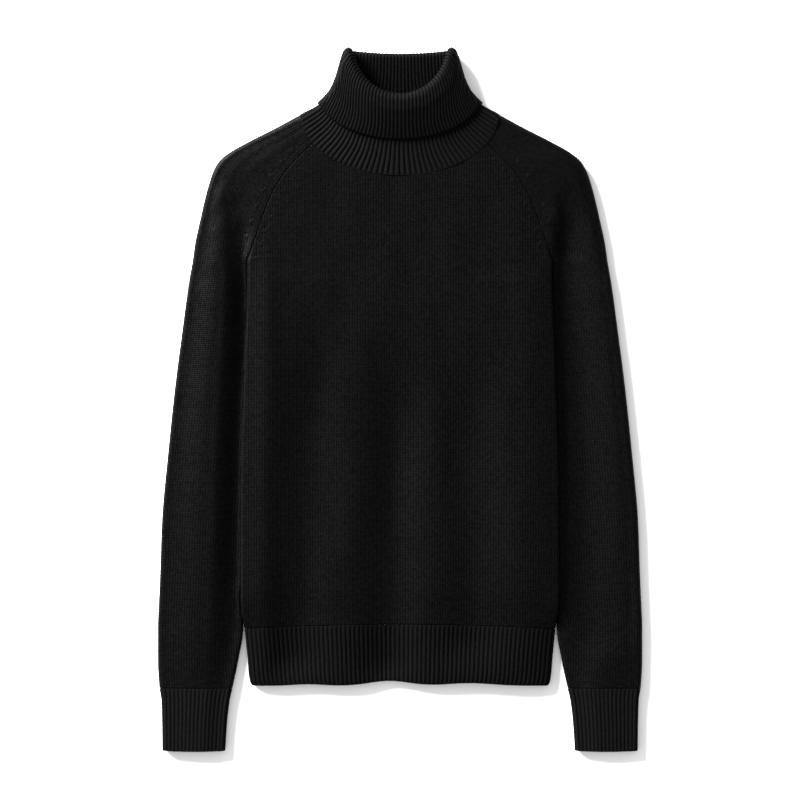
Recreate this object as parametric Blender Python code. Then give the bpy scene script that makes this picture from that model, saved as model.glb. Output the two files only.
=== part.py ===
"""Roll-neck raglan sweater in fine knit, laid flat on its back. Metres, +Z up, collar towards +Y.

The origin is on the surface it lies on, at the middle of the garment's outline. The wearer's left
is at +X. Each knitted piece is a wall of its own, lofted through a few sections: a section gives
the outer face of the cloth, and the inner face lies one cloth thickness behind it.
"""

import math
from typing import NamedTuple

import bmesh
import bpy
import numpy as np

# ---- Cloth and seams

JERSEY = 0.0018  # plain knit of the body and sleeves
RIB = 0.0024  # hem and cuffs
COLLAR_RIB = 0.0026
SEAM = 0.0003  # between two joined pieces

PLAIN_KNIT = (0.010, 0.010, 0.011)  # base colours
RIB_KNIT = (0.009, 0.009, 0.010)
PLAIN_ROUGHNESS = 0.95
RIB_ROUGHNESS = 0.97

# ---- Body: sections across the body, from the hem seam up to the underarm

EDGE_R = 0.0043  # the rounded fold down each side
RAMP = 0.026  # how far in from the fold the back rises off the surface, over the tucked sleeve


class BodyRow(NamedTuple):
    y: float  # at the side
    bow: float  # how much higher the row lies at the middle
    half_width: float
    crown: float  # height of the front at the middle
    lift: float  # height of the back's outer face at the side


BODY_ROWS = (
    BodyRow(-0.2670, 0.0090, 0.1800, 0.0128, 0.0),
    BodyRow(-0.2450, 0.0070, 0.1823, 0.0138, 0.0034),
    BodyRow(-0.2250, 0.0050, 0.1834, 0.0148, 0.0056),
    BodyRow(-0.1800, 0.0030, 0.1834, 0.0155, 0.0056),
    BodyRow(-0.1200, 0.0010, 0.1832, 0.0157, 0.0056),
    BodyRow(-0.0600, 0.0, 0.1826, 0.0158, 0.0056),
    BodyRow(0.0000, 0.0, 0.1806, 0.0158, 0.0056),
    BodyRow(0.0600, 0.0, 0.1787, 0.0158, 0.0056),
    BodyRow(0.1050, 0.0, 0.1764, 0.0158, 0.0056),
    BodyRow(0.1350, 0.0, 0.1757, 0.0158, 0.0056),
)
BACK_ROWS_SKIPPED = (3, 4, 6, 7)  # the back lies flat there, so it needs fewer sections


class Fold(NamedTuple):
    """A soft trough down the front: its middle runs from one point to the other."""

    x_top: float
    y_top: float
    x_bottom: float
    y_bottom: float
    half_width: float
    depth: float


FOLDS = (
    Fold(-0.094, 0.110, -0.121, -0.290, 0.022, 0.0024),
    Fold(0.003, 0.150, -0.018, -0.345, 0.021, 0.0026),
    Fold(0.080, 0.160, 0.087, -0.290, 0.025, 0.0016),
    Fold(-0.152, 0.200, -0.160, -0.020, 0.012, 0.0008),
)
FOLD_FADE = 0.13  # a fold grows over this length below its top end

# ---- Hem band: sections below the hem seam


class HemRow(NamedTuple):
    reach: float  # 0 at the seam, 1 at the hem edge
    half_width: float
    crown: float


HEM_ROWS = (
    HemRow(0.0, 0.1800, 0.0128),
    HemRow(0.45, 0.1766, 0.0122),
    HemRow(0.93, 0.1728, 0.0118),
    HemRow(1.0, 0.1700, 0.0114),
)
HEM_EDGE_Y = -0.3266
HEM_EDGE_RISE = 0.0036  # the edge is pulled up where the middle fold ends
HEM_RISE_X = -0.015
HEM_RISE_HALF_WIDTH = 0.026

# ---- Yoke: one row from the front raglan seam over the sleeve to the back raglan seam


class YokeRow(NamedTuple):
    front_x: float  # front raglan seam
    front_y: float
    outer_x: float  # the fold along the top of the sleeve and shoulder
    outer_y: float
    back_x: float  # back raglan seam
    back_y: float
    turn: float  # how far the seam still faces outward: 1 at the underarm, 0 once it lies flat
    front_z: float  # the front at the seam
    trough: float  # place of the trough across the sleeve, 0 at the seam and 1 at the outer fold
    trough_z: float
    crown: float
    crown_z: float
    outer_r: float
    back_z: float  # the back's outer face at the seam


YOKE_ROWS = (
    YokeRow(0.1758, 0.1584, 0.2385, 0.1600, 0.1758, 0.1584, 1.0, 0.0142, 0.10, 0.0082, 0.55, 0.0134,
            0.0055, 0.0056),
    YokeRow(0.1725, 0.1675, 0.2354, 0.1800, 0.1710, 0.1680, 0.5, 0.0142, 0.20, 0.0094, 0.58, 0.0134,
            0.0055, 0.0040),
    YokeRow(0.1675, 0.1810, 0.2293, 0.2080, 0.1635, 0.1835, 0.0, 0.0142, 0.34, 0.0110, 0.66, 0.0133,
            0.0055, 0.0022),
    YokeRow(0.1592, 0.2048, 0.2216, 0.2405, 0.1505, 0.2100, 0.0, 0.0145, 0.50, 0.0123, 0.75, 0.0131,
            0.0056, 0.0006),
    YokeRow(0.1524, 0.2233, 0.2142, 0.2630, 0.1400, 0.2295, 0.0, 0.0147, 0.50, 0.0133, 0.75, 0.0131,
            0.0057, 0.0),
    YokeRow(0.1456, 0.2385, 0.2075, 0.2743, 0.1300, 0.2455, 0.0, 0.0148, 0.50, 0.0138, 0.75, 0.0131,
            0.0058, 0.0),
    YokeRow(0.1355, 0.2553, 0.1950, 0.2844, 0.1185, 0.2625, 0.0, 0.0149, 0.50, 0.0142, 0.75, 0.0133,
            0.0060, 0.0),
    YokeRow(0.1220, 0.2723, 0.1725, 0.2970, 0.1055, 0.2800, 0.0, 0.0150, 0.50, 0.0145, 0.75, 0.0136,
            0.0062, 0.0),
    YokeRow(0.1095, 0.2847, 0.1420, 0.3125, 0.0915, 0.2970, 0.0, 0.0150, 0.50, 0.0145, 0.75, 0.0138,
            0.0064, 0.0),
    YokeRow(0.0995, 0.2944, 0.1139, 0.3275, 0.0790, 0.3135, 0.0, 0.0150, 0.50, 0.0144, 0.75, 0.0137,
            0.0065, 0.0),
)
YOKE_CROWN = 0.0158  # height of the front between the raglan seams
YOKE_BOW = 1.5  # how fast the rows take up the curve of the neck

# ---- Neck seam: part of an ellipse across the front, round the shoulder fold, a shallow curve behind

NECK_Y = 0.3265
NECK_HALF_WIDTH = 0.1123
NECK_DROP = 0.0680
NECK_SWEEP = math.radians(85.6)  # from the middle of the front to the shoulder fold
NECK_BACK_Y = 0.3085
NECK_BACK_POWER = 2.5  # the back stays level, then curves up to the shoulders
NECK_FACING = math.radians(72.5)  # the way the shoulder fold faces on plan, from +X
NECK_GAP = 0.0004  # a seam along a curve, so a little more than between straight edges

# ---- Sleeves: sections across the sleeve below the underarm


class SleeveRow(NamedTuple):
    y: float
    inner_x: float
    outer_x: float
    inner_r: float
    inner_z: float  # middle of the inner fold, where the underarm seam runs
    crown_z: float
    outer_r: float


SLEEVE_ROWS = (
    SleeveRow(0.1400, 0.1763, 0.2418, 0.0026, 0.0054, 0.0133, 0.0055),
    SleeveRow(0.1150, 0.1748, 0.2455, 0.0026, 0.0029, 0.0132, 0.0055),
    SleeveRow(0.0800, 0.1732, 0.2501, 0.0026, 0.0026, 0.0132, 0.0055),
    SleeveRow(0.0200, 0.1758, 0.2579, 0.0026, 0.0026, 0.0132, 0.0055),
    SleeveRow(-0.0600, 0.1784, 0.2664, 0.0026, 0.0026, 0.0132, 0.0055),
    SleeveRow(-0.1400, 0.1791, 0.2736, 0.0026, 0.0026, 0.0130, 0.0054),
    SleeveRow(-0.2000, 0.1793, 0.2757, 0.0026, 0.0026, 0.0128, 0.0053),
    SleeveRow(-0.2280, 0.1841, 0.2769, 0.0028, 0.0028, 0.0127, 0.0052),
    SleeveRow(-0.2620, 0.1814, 0.2783, 0.0032, 0.0032, 0.0125, 0.0050),
    SleeveRow(-0.3000, 0.1858, 0.2783, 0.0040, 0.0040, 0.0120, 0.0048),
    SleeveRow(-0.3312, 0.1924, 0.2766, 0.0047, 0.0047, 0.0116, 0.0048),
)
UNDERARM_Z = 0.0080
UNDERARM_R = 0.0026
SLEEVE_TROUGH = 0.13  # the sleeve's top stays low this far out from its inner fold
SLEEVE_CROWN = 0.55
SLEEVE_RAMP = 0.30  # share of the back's width that rises to a seam off the surface

# ---- Cuffs: sections across the cuff


class CuffRow(NamedTuple):
    y: float
    inner_x: float
    outer_x: float
    crown_z: float
    fold_r: float


CUFF_ROWS = (
    CuffRow(-0.3315, 0.1925, 0.2765, 0.0116, 0.0048),
    CuffRow(-0.3450, 0.1955, 0.2743, 0.0115, 0.0048),
    CuffRow(-0.3700, 0.1985, 0.2735, 0.0114, 0.0048),
    CuffRow(-0.4033, 0.2007, 0.2731, 0.0112, 0.0048),
)
CUFF_BOW = 0.0010  # the cuff's edge is this much lower at its middle

# ---- Collar: loops from the neck seam up the stand, over the roll and down to the free edge


class CollarLoop(NamedTuple):
    """Middle of the cloth: the front of the loop lies high, the back of it lies low."""

    side_x: float  # outermost point of the fold at the side
    side_y: float
    front_y: float  # at the middle of the front
    back_y: float
    front_z: float
    side_z: float  # top of the fold at the side
    back_z: float
    fold_r: float
    facing: float  # the way the fold faces on plan, in degrees from +X
    sweep: float  # share of an ellipse that the front takes, in degrees


STAND = (
    CollarLoop(0.1135, 0.3262, 0.2585, 0.3085, 0.0137, 0.0117, 0.0013, 0.0052, 72.5, 85.6),
    CollarLoop(0.0915, 0.3385, 0.2800, 0.3225, 0.0150, 0.0125, 0.0045, 0.0042, 60.0, 80.0),
    CollarLoop(0.0770, 0.3545, 0.3030, 0.3440, 0.0165, 0.0138, 0.0045, 0.0046, 38.0, 78.0),
    CollarLoop(0.0645, 0.3755, 0.3260, 0.3670, 0.0180, 0.0150, 0.0045, 0.0052, 28.0, 80.0),
    CollarLoop(0.0560, 0.3982, 0.3455, 0.3918, 0.0192, 0.0160, 0.0045, 0.0056, 25.0, 82.0),
)
TURNED = (
    CollarLoop(0.0642, 0.3995, 0.3440, 0.3915, 0.0266, 0.0226, 0.0013, 0.0105, 25.0, 82.0),
    CollarLoop(0.0735, 0.3750, 0.3270, 0.3700, 0.0256, 0.0216, 0.0013, 0.0100, 28.0, 78.0),
    CollarLoop(0.0838, 0.3550, 0.3115, 0.3500, 0.0232, 0.0198, 0.0013, 0.0085, 33.0, 75.0),
    CollarLoop(0.0942, 0.3395, 0.2986, 0.3300, 0.0200, 0.0172, 0.0013, 0.0065, 38.0, 75.0),
)
ROLL_STEPS = 4

# ---- Where the columns of each piece lie, as shares of its half sections

FRONT_COLUMNS = (0.0, 0.1, 0.2, 0.3, 0.4, 0.5, 0.6, 0.7, 0.8, 0.88, 0.935, 0.962, 0.975, 0.988, 1.0)
BACK_COLUMNS = (0.0, 0.3, 0.6, 0.78, 0.84, 0.9, 0.95, 0.97, 0.985, 1.0)
INNER_FOLD = (0.0, 0.5, 1.0)
SEAM_EDGE = (0.0, 0.025, 0.05)  # stands in for the inner fold where the sleeve ends at a seam
SLEEVE_TOP = (0.0, 0.07, 0.16, 0.3, 0.46, 0.62, 0.78, 0.91, 1.0)
SLEEVE_UNDER = (0.0, 0.25, 0.5, 0.72, 0.88, 1.0)
OUTER_FOLD = (0.0, 1 / 3, 2 / 3, 1.0)
CUFF_TOP = (0.0, 0.2, 0.4, 0.6, 0.8, 1.0)
CUFF_UNDER = (0.0, 0.5, 1.0)
COLLAR_FRONT = 10  # columns from the middle of the front to the side
COLLAR_SIDE = 6
COLLAR_BACK = 6
DENSE = 90  # points along a curve before its columns are picked
DENSE_ARC = 16


def smooth(share):
    share = min(max(share, 0.0), 1.0)
    return share * share * (3.0 - 2.0 * share)


def through(knots, place):
    """Height at a place, eased between (place, height) knots."""
    for (start, low), (end, high) in zip(knots, knots[1:]):
        if place <= end:
            return low + (high - low) * smooth((place - start) / (end - start))
    return knots[-1][1]


def pick(points, outward, shares):
    """The points, and the way out of the cloth there, at these shares of a curve's length."""
    points = np.array(points)
    outward = np.array(outward)
    steps = np.linalg.norm(np.diff(points, axis=0), axis=1)
    along = np.concatenate([[0.0], np.cumsum(steps)])
    wanted = np.array(shares) * along[-1]
    picked = np.stack([np.interp(wanted, along, points[:, k]) for k in range(3)], axis=1)
    facing = np.stack([np.interp(wanted, along, outward[:, k]) for k in range(3)], axis=1)
    return picked, facing / np.linalg.norm(facing, axis=1, keepdims=True)


def wall(name, rows, thickness, material, ring=False):
    """One closed cloth wall lofted through rows of (points, outward directions)."""
    outer = np.array([points for points, facing in rows])
    inner = np.array([points - thickness * facing for points, facing in rows])
    count, columns = outer.shape[:2]
    shift = count * columns
    spans = columns if ring else columns - 1
    faces = []
    for row in range(count - 1):
        for column in range(spans):
            after = (column + 1) % columns
            here = row * columns
            above = here + columns
            quad = (here + column, here + after, above + after, above + column)
            faces.append(quad)
            faces.append(tuple(shift + corner for corner in reversed(quad)))
    last = shift - columns
    for column in range(spans):
        after = (column + 1) % columns
        faces.append((after, column, shift + column, shift + after))
        faces.append((last + column, last + after, shift + last + after, shift + last + column))
    if not ring:
        for row in range(count - 1):
            start = row * columns
            end = start + columns - 1
            faces.append((start, start + columns, shift + start + columns, shift + start))
            faces.append((end + columns, end, shift + end, shift + end + columns))
    mesh = bpy.data.meshes.new(name)
    points = np.concatenate([outer.reshape(-1, 3), inner.reshape(-1, 3)])
    mesh.from_pydata(points.tolist(), [], faces)
    shape = bmesh.new()
    shape.from_mesh(mesh)
    bmesh.ops.recalc_face_normals(shape, faces=shape.faces)
    shape.to_mesh(mesh)
    shape.free()
    mesh.shade_smooth()
    mesh.set_sharp_from_angle(angle=math.radians(50))
    mesh.materials.append(material)
    piece = bpy.data.objects.new(name, mesh)
    garment.objects.link(piece)
    return piece


# ---- Neck curve


def neck_front(x):
    """The panels' edge of the front neck seam, at a place across the neck."""
    share = min(abs(x) / (NECK_HALF_WIDTH + NECK_GAP), 1.0)
    return NECK_Y - (NECK_DROP + NECK_GAP) * math.sqrt(1.0 - share * share)


def neck_side():
    """Middle of the shoulder fold on plan, where the front and the back of the neck seam meet."""
    x = (NECK_HALF_WIDTH + NECK_GAP) * math.sin(NECK_SWEEP)
    return x, NECK_Y - (NECK_DROP + NECK_GAP) * math.cos(NECK_SWEEP)


def neck_back(x):
    side_x, side_y = neck_side()
    low = NECK_BACK_Y - NECK_GAP
    return low + (side_y - low) * min(abs(x) / side_x, 1.0) ** NECK_BACK_POWER


# ---- Body panels


def fold_depth(x, y):
    """How far the folds lower the front at a place."""
    total = 0.0
    for fold in FOLDS:
        along = (fold.y_top - y) / (fold.y_top - fold.y_bottom)
        if not 0.0 <= along <= 1.0:
            continue
        middle = fold.x_top + (fold.x_bottom - fold.x_top) * along
        grown = smooth((fold.y_top - y) / FOLD_FADE)
        ended = smooth((y - fold.y_bottom) / (0.4 * FOLD_FADE))
        total += fold.depth * grown * ended * math.exp(-(((x - middle) / fold.half_width) ** 2))
    return total


def front_height(x, y, reach, edge_z, crown):
    """The front's outer face: level with the side fold there, highest towards the middle."""
    across = min(abs(x) / reach, 1.0)
    return edge_z + (crown - edge_z) * (1.0 - across**3) - fold_depth(x, y) * (1.0 - across**8)


def across_body(row_y, half_width, edge, height, arc_from, arc_to, shares):
    """Both halves of a section: level with height(x) up to the side fold, then round it."""
    halves = []
    for side in (-1.0, 1.0):
        middle_x = half_width - edge * math.cos(arc_to)
        turn_z = height(side * middle_x) - edge * math.sin(arc_from)
        points = []
        outward = []
        for x in np.linspace(0.0, middle_x, DENSE):
            points.append((side * x, row_y(side * x), height(side * x)))
            outward.append((0.0, 0.0, math.sin(arc_from)))
        for angle in np.linspace(arc_from, arc_to, DENSE_ARC)[1:]:
            x = middle_x + edge * math.cos(angle)
            z = turn_z + edge * math.sin(angle)
            points.append((side * x, row_y(side * x), z))
            outward.append((side * math.cos(angle), 0.0, math.sin(angle)))
        halves.append(pick(points, outward, shares))
    (left, left_out), (right, right_out) = halves
    return np.concatenate([left[:0:-1], right]), np.concatenate([left_out[:0:-1], right_out])


def front_section(row_y, half_width, edge_z, crown, turn=1.0, lower=0.0):
    """A section of the front. With turn 1 it ends facing sideways, with turn 0 facing up."""
    end = math.radians(90.0) * (1.0 - turn)
    reach = half_width - EDGE_R * math.cos(end)

    def height(x):
        return front_height(x, row_y(x), reach, edge_z, crown)

    points, outward = across_body(
        row_y, half_width, EDGE_R, height, math.radians(90.0), end, FRONT_COLUMNS
    )
    points[0, 2] += lower
    points[-1, 2] += lower
    return points, outward


def back_section(row_y, half_width, lift, turn=1.0, lower=0.0):
    """A section of the back, flat on the surface up to where it rises to the side fold."""
    end = math.radians(-90.0) * (1.0 - turn)
    reach = half_width - EDGE_R * math.cos(end)

    def height(x):
        return lift * smooth((abs(x) - reach + RAMP) / RAMP)

    points, outward = across_body(
        row_y, half_width, EDGE_R, height, math.radians(-90.0), end, BACK_COLUMNS
    )
    points[0, 2] -= lower
    points[-1, 2] -= lower
    return points, outward


def side_top(row):
    return row.lift + 2.0 * EDGE_R


def bowed(y, bow, half_width):
    return lambda x: y + bow * (1.0 - min(abs(x) / half_width, 1.0) ** 2)


def yoke_share(row):
    first = YOKE_ROWS[0].front_y
    return ((row.front_y - first) / (YOKE_ROWS[-1].front_y - first)) ** YOKE_BOW


def yoke_curve(seam_x, seam_y, last_x, neck, share):
    """A row between raglan seams, bowed down by a share of the neck's own curve."""

    def row_y(x):
        across = min(abs(x) / seam_x, 1.0)
        return seam_y - share * (neck(last_x) - neck(across * last_x))

    return row_y


def front_panel(material):
    rows = []
    for index, row in enumerate(BODY_ROWS):
        y = row.y + (SEAM / 2 if index == 0 else 0.0)
        curve = bowed(y, row.bow, row.half_width)
        rows.append(front_section(curve, row.half_width, side_top(row), row.crown, lower=SEAM / 2))
    last = YOKE_ROWS[-1]
    for row in YOKE_ROWS:
        seam_x = row.front_x - SEAM / 2
        curve = yoke_curve(seam_x, row.front_y, last.front_x, neck_front, yoke_share(row))
        lower = SEAM / 2 if row.turn == 1.0 else 0.0
        rows.append(front_section(curve, seam_x, row.front_z, YOKE_CROWN, row.turn, lower))
    return wall("front_panel", rows, JERSEY, material)


def back_panel(material):
    rows = []
    for index, row in enumerate(BODY_ROWS):
        if index in BACK_ROWS_SKIPPED:
            continue
        y = row.y + (SEAM / 2 if index == 0 else 0.0)
        curve = bowed(y, row.bow, row.half_width)
        rows.append(back_section(curve, row.half_width, row.lift, lower=SEAM / 2))
    last = YOKE_ROWS[-1]
    for row in YOKE_ROWS:
        seam_x = row.back_x - SEAM / 2
        curve = yoke_curve(seam_x, row.back_y, last.back_x, neck_back, yoke_share(row))
        lower = SEAM / 2 if row.turn == 1.0 else 0.0
        rows.append(back_section(curve, seam_x, row.back_z, row.turn, lower))
    return wall("back_panel", rows, JERSEY, material)


def hem_curve(row):
    """A row of the hem band, between the bowed seam and the edge."""
    seam_row = BODY_ROWS[0]
    seam_y = bowed(seam_row.y - SEAM / 2, seam_row.bow, seam_row.half_width)

    def row_y(x):
        rise = HEM_EDGE_RISE * math.exp(-(((x - HEM_RISE_X) / HEM_RISE_HALF_WIDTH) ** 2))
        edge_y = HEM_EDGE_Y + rise
        return seam_y(x) + (edge_y - seam_y(x)) * row.reach

    return row_y


def front_hem_band(material):
    rows = [
        front_section(hem_curve(row), row.half_width, 2.0 * EDGE_R, row.crown, lower=SEAM / 2)
        for row in HEM_ROWS
    ]
    return wall("front_hem_rib", rows, RIB, material)


def back_hem_band(material):
    rows = [
        back_section(hem_curve(row), row.half_width, 0.0, lower=SEAM / 2) for row in HEM_ROWS
    ]
    return wall("back_hem_rib", rows, RIB, material)


# ---- Sleeves


def arc(centre, way, radius, start, end):
    """Points and outward directions round a fold that faces along way, from angle to angle."""
    points = []
    outward = []
    for angle in np.linspace(start, end, DENSE_ARC):
        facing = (way[0] * math.cos(angle), way[1] * math.cos(angle), math.sin(angle))
        points.append(tuple(centre[k] + radius * facing[k] for k in range(3)))
        outward.append(facing)
    return points, outward


def run(path, height, facing_z):
    """Points along a path on plan, level with height(share), facing up or down."""
    points = []
    for share in np.linspace(0.0, 1.0, DENSE):
        x, y = path(share)
        points.append((x, y, height(share)))
    return points, [(0.0, 0.0, facing_z)] * DENSE


def straight(start, end):
    return lambda share: (
        start[0] + (end[0] - start[0]) * share,
        start[1] + (end[1] - start[1]) * share,
    )


def rising(height):
    """Flat on the surface, then up to this height over the last stretch."""
    return lambda share: height * smooth((share - 1.0) / SLEEVE_RAMP + 1.0)


def toward(start, end):
    length = math.hypot(end[0] - start[0], end[1] - start[1])
    return ((end[0] - start[0]) / length, (end[1] - start[1]) / length)


def seam_shares(shares):
    """Shares of a run that ends at a seam: its first stretch takes the inner fold's columns."""
    start = SEAM_EDGE[-1]
    return SEAM_EDGE + tuple(start + (1.0 - start) * share for share in shares[1:])


def from_far_end(shares):
    return tuple(1.0 - share for share in reversed(shares))


def over_neck(start_x):
    """Along the front neck seam from a place across the neck to the shoulder fold."""
    start = math.asin(start_x / (NECK_HALF_WIDTH + NECK_GAP))

    def path(share):
        x = (NECK_HALF_WIDTH + NECK_GAP) * math.sin(start + (NECK_SWEEP - start) * share)
        return x, neck_front(x)

    return path


def behind_neck(end_x):
    """Along the back neck seam from the shoulder fold to a place across the neck."""
    side_x = neck_side()[0]

    def path(share):
        x = side_x + (end_x - side_x) * share
        return x, neck_back(x)

    return path


def yoke_sleeve_section(row):
    """Over the shoulder from the front raglan seam to the back one."""
    front = (row.front_x + SEAM / 2, row.front_y)
    back = (row.back_x + SEAM / 2, row.back_y)
    outer = (row.outer_x, row.outer_y)
    way = toward(front, outer)
    fold = (outer[0] - row.outer_r * way[0], outer[1] - row.outer_r * way[1])
    over = straight(front, fold)
    under = straight(fold, back)
    if row is YOKE_ROWS[-1]:
        way = (math.cos(NECK_FACING), math.sin(NECK_FACING))
        fold = neck_side()
        over = over_neck(front[0])
        under = behind_neck(back[0])
    start_z = row.front_z - EDGE_R * (1.0 - math.cos(math.radians(90.0) * row.turn))
    knots = (
        (0.0, start_z),
        (row.trough, row.trough_z),
        (row.crown, row.crown_z),
        (1.0, 2.0 * row.outer_r),
    )
    centre = (fold[0], fold[1], row.outer_r)
    rise = rising(row.back_z)
    return (
        (run(over, lambda share: through(knots, share), 1.0), seam_shares(SLEEVE_TOP)),
        (arc(centre, way, row.outer_r, math.pi / 2, 0.0), OUTER_FOLD),
        (arc(centre, way, row.outer_r, 0.0, -math.pi / 2), OUTER_FOLD),
        (run(under, rise, -1.0), from_far_end(seam_shares(from_far_end(SLEEVE_UNDER)))),
    )


def lower_sleeve_section(row, seam_gap, over, under, trough=SLEEVE_TROUGH, trough_z=None):
    """All round the sleeve, from its inner fold over the top and back underneath."""
    gap_angle = seam_gap / 2 / row.inner_r
    inner = (row.inner_x + row.inner_r, row.y, row.inner_z)
    fold = (row.outer_x - row.outer_r, row.y)
    inner_top = row.inner_z + row.inner_r
    inner_low = row.inner_z - row.inner_r
    knots = (
        (0.0, inner_top),
        (trough, inner_top if trough_z is None else trough_z),
        (SLEEVE_CROWN, row.crown_z),
        (1.0, 2.0 * row.outer_r),
    )
    centre = (fold[0], fold[1], row.outer_r)
    ahead = (1.0, 0.0)
    return (
        (arc(inner, ahead, row.inner_r, math.pi - gap_angle, math.pi / 2), INNER_FOLD),
        (run(straight(inner, fold), lambda share: through(knots, share), 1.0), over),
        (arc(centre, ahead, row.outer_r, math.pi / 2, 0.0), OUTER_FOLD),
        (arc(centre, ahead, row.outer_r, 0.0, -math.pi / 2), OUTER_FOLD),
        (run(straight(fold, inner), rising(inner_low), -1.0), under),
        (arc(inner, ahead, row.inner_r, -math.pi / 2, -math.pi + gap_angle), INNER_FOLD),
    )


def underarm_section():
    """The row where the sleeve closes: its place comes from the yoke, its fold from the sleeve."""
    start = YOKE_ROWS[0]
    row = SleeveRow(
        start.front_y,
        start.front_x + SEAM,
        start.outer_x,
        UNDERARM_R,
        UNDERARM_Z,
        start.crown_z,
        start.outer_r,
    )
    return lower_sleeve_section(
        row, SEAM, SLEEVE_TOP, SLEEVE_UNDER, start.trough, start.trough_z
    )


def whole_row(section, side, ring=False):
    """One row of columns round a tube, on the side of the garment that side gives."""
    points = []
    outward = []
    for (part, part_outward), shares in section:
        picked, facing = pick(part, part_outward, shares)
        start = 1 if points else 0
        points += list(picked[start:])
        outward += list(facing[start:])
    if ring:
        points.pop()
        outward.pop()
    flip = np.array((side, 1.0, 1.0))
    return np.array(points) * flip, np.array(outward) * flip


def sleeve(name, side, material):
    sections = [
        lower_sleeve_section(row, SEAM, SLEEVE_TOP, SLEEVE_UNDER) for row in reversed(SLEEVE_ROWS)
    ]
    sections.append(underarm_section())
    sections += [yoke_sleeve_section(row) for row in YOKE_ROWS[1:]]
    return wall(name, [whole_row(section, side) for section in sections], JERSEY, material)


def cuff(name, side, material):
    rows = []
    for index, row in enumerate(CUFF_ROWS):
        bow = CUFF_BOW * index / (len(CUFF_ROWS) - 1)
        section = SleeveRow(
            row.y, row.inner_x, row.outer_x, row.fold_r, row.fold_r, row.crown_z, row.fold_r
        )
        parts = lower_sleeve_section(section, 0.0, CUFF_TOP, CUFF_UNDER)
        points, outward = whole_row(parts, side, ring=True)
        middle = (row.inner_x + row.outer_x) / 2
        reach = (row.outer_x - row.inner_x) / 2
        across = np.abs(np.abs(points[:, 0]) - middle) / reach
        points[:, 1] -= bow * (1.0 - across**2)
        rows.append((points, outward))
    return wall(name, rows, RIB, material, ring=True)


# ---- Collar


def loop_half(loop):
    """Middle of the cloth and its outward direction from the front's middle round to the back's."""
    points = []
    outward = []
    way_x = math.cos(math.radians(loop.facing))
    way_y = math.sin(math.radians(loop.facing))
    fold_x = loop.side_x - loop.fold_r * way_x
    fold_y = loop.side_y - loop.fold_r * way_y
    side_depth = (loop.side_z - loop.back_z) / 2
    middle_z = (loop.side_z + loop.back_z) / 2
    sweep = math.radians(loop.sweep)
    for step in range(COLLAR_FRONT):
        angle = sweep * step / COLLAR_FRONT
        along = (1.0 - math.cos(angle)) / (1.0 - math.cos(sweep))
        x = fold_x * math.sin(angle) / math.sin(sweep)
        y = loop.front_y + (fold_y - loop.front_y) * along
        points.append((x, y, loop.front_z + (loop.side_z - loop.front_z) * along))
        outward.append((0.0, 0.0, 1.0))
    for step in range(COLLAR_SIDE + 1):
        angle = math.pi * step / COLLAR_SIDE
        reach = loop.fold_r * math.sin(angle)
        z = middle_z + side_depth * math.cos(angle)
        points.append((fold_x + reach * way_x, fold_y + reach * way_y, z))
        level = math.sin(angle) / loop.fold_r
        facing = np.array((level * way_x, level * way_y, math.cos(angle) / side_depth))
        outward.append(tuple(facing / np.linalg.norm(facing)))
    for step in range(1, COLLAR_BACK + 1):
        across = 1.0 - step / COLLAR_BACK
        y = loop.back_y + (fold_y - loop.back_y) * across**NECK_BACK_POWER
        points.append((fold_x * across, y, loop.back_z))
        outward.append((0.0, 0.0, -1.0))
    return np.array(points), np.array(outward)


def whole_loop(points, outward):
    """The other half of a loop is its mirror image, without the two middle columns."""
    flip = np.array((-1.0, 1.0, 1.0))
    other_half = points[-2:0:-1] * flip
    other_out = outward[-2:0:-1] * flip
    return np.concatenate([points, other_half]), np.concatenate([outward, other_out])


def roll_loops(below, start, end):
    """Loops round the half circle that joins the stand's last loop to the turned part's first."""
    gap = end - start
    radius = np.linalg.norm(gap, axis=1, keepdims=True) / 2
    across = gap / (2 * radius)
    up = start - below
    up = up - np.sum(up * across, axis=1, keepdims=True) * across
    up = up / np.linalg.norm(up, axis=1, keepdims=True)
    centre = (start + end) / 2
    loops = []
    for step in range(1, ROLL_STEPS):
        angle = math.pi * step / ROLL_STEPS
        facing = -math.cos(angle) * across + math.sin(angle) * up
        loops.append((centre + radius * facing, -facing))
    return loops


def collar(material):
    stand = [loop_half(loop) for loop in STAND]
    turned = [loop_half(loop) for loop in TURNED]
    loops = stand + roll_loops(stand[-2][0], stand[-1][0], turned[0][0])
    loops += [(points, -outward) for points, outward in turned]
    rows = []
    for points, outward in loops:
        points, outward = whole_loop(points, outward)
        rows.append((points + COLLAR_RIB / 2 * outward, outward))
    return wall("collar", rows, COLLAR_RIB, material, ring=True)


# ---- Assembly


def knit_material(name, colour, roughness):
    material = bpy.data.materials.new(name)
    material.use_nodes = True
    shader = material.node_tree.nodes["Principled BSDF"]
    shader.inputs["Base Color"].default_value = (*colour, 1.0)
    shader.inputs["Roughness"].default_value = roughness
    shader.inputs["Metallic"].default_value = 0.0
    return material


for item in list(bpy.data.objects):
    bpy.data.objects.remove(item, do_unlink=True)
garment = bpy.data.collections.new("roll_neck_sweater")
bpy.context.scene.collection.children.link(garment)

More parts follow.
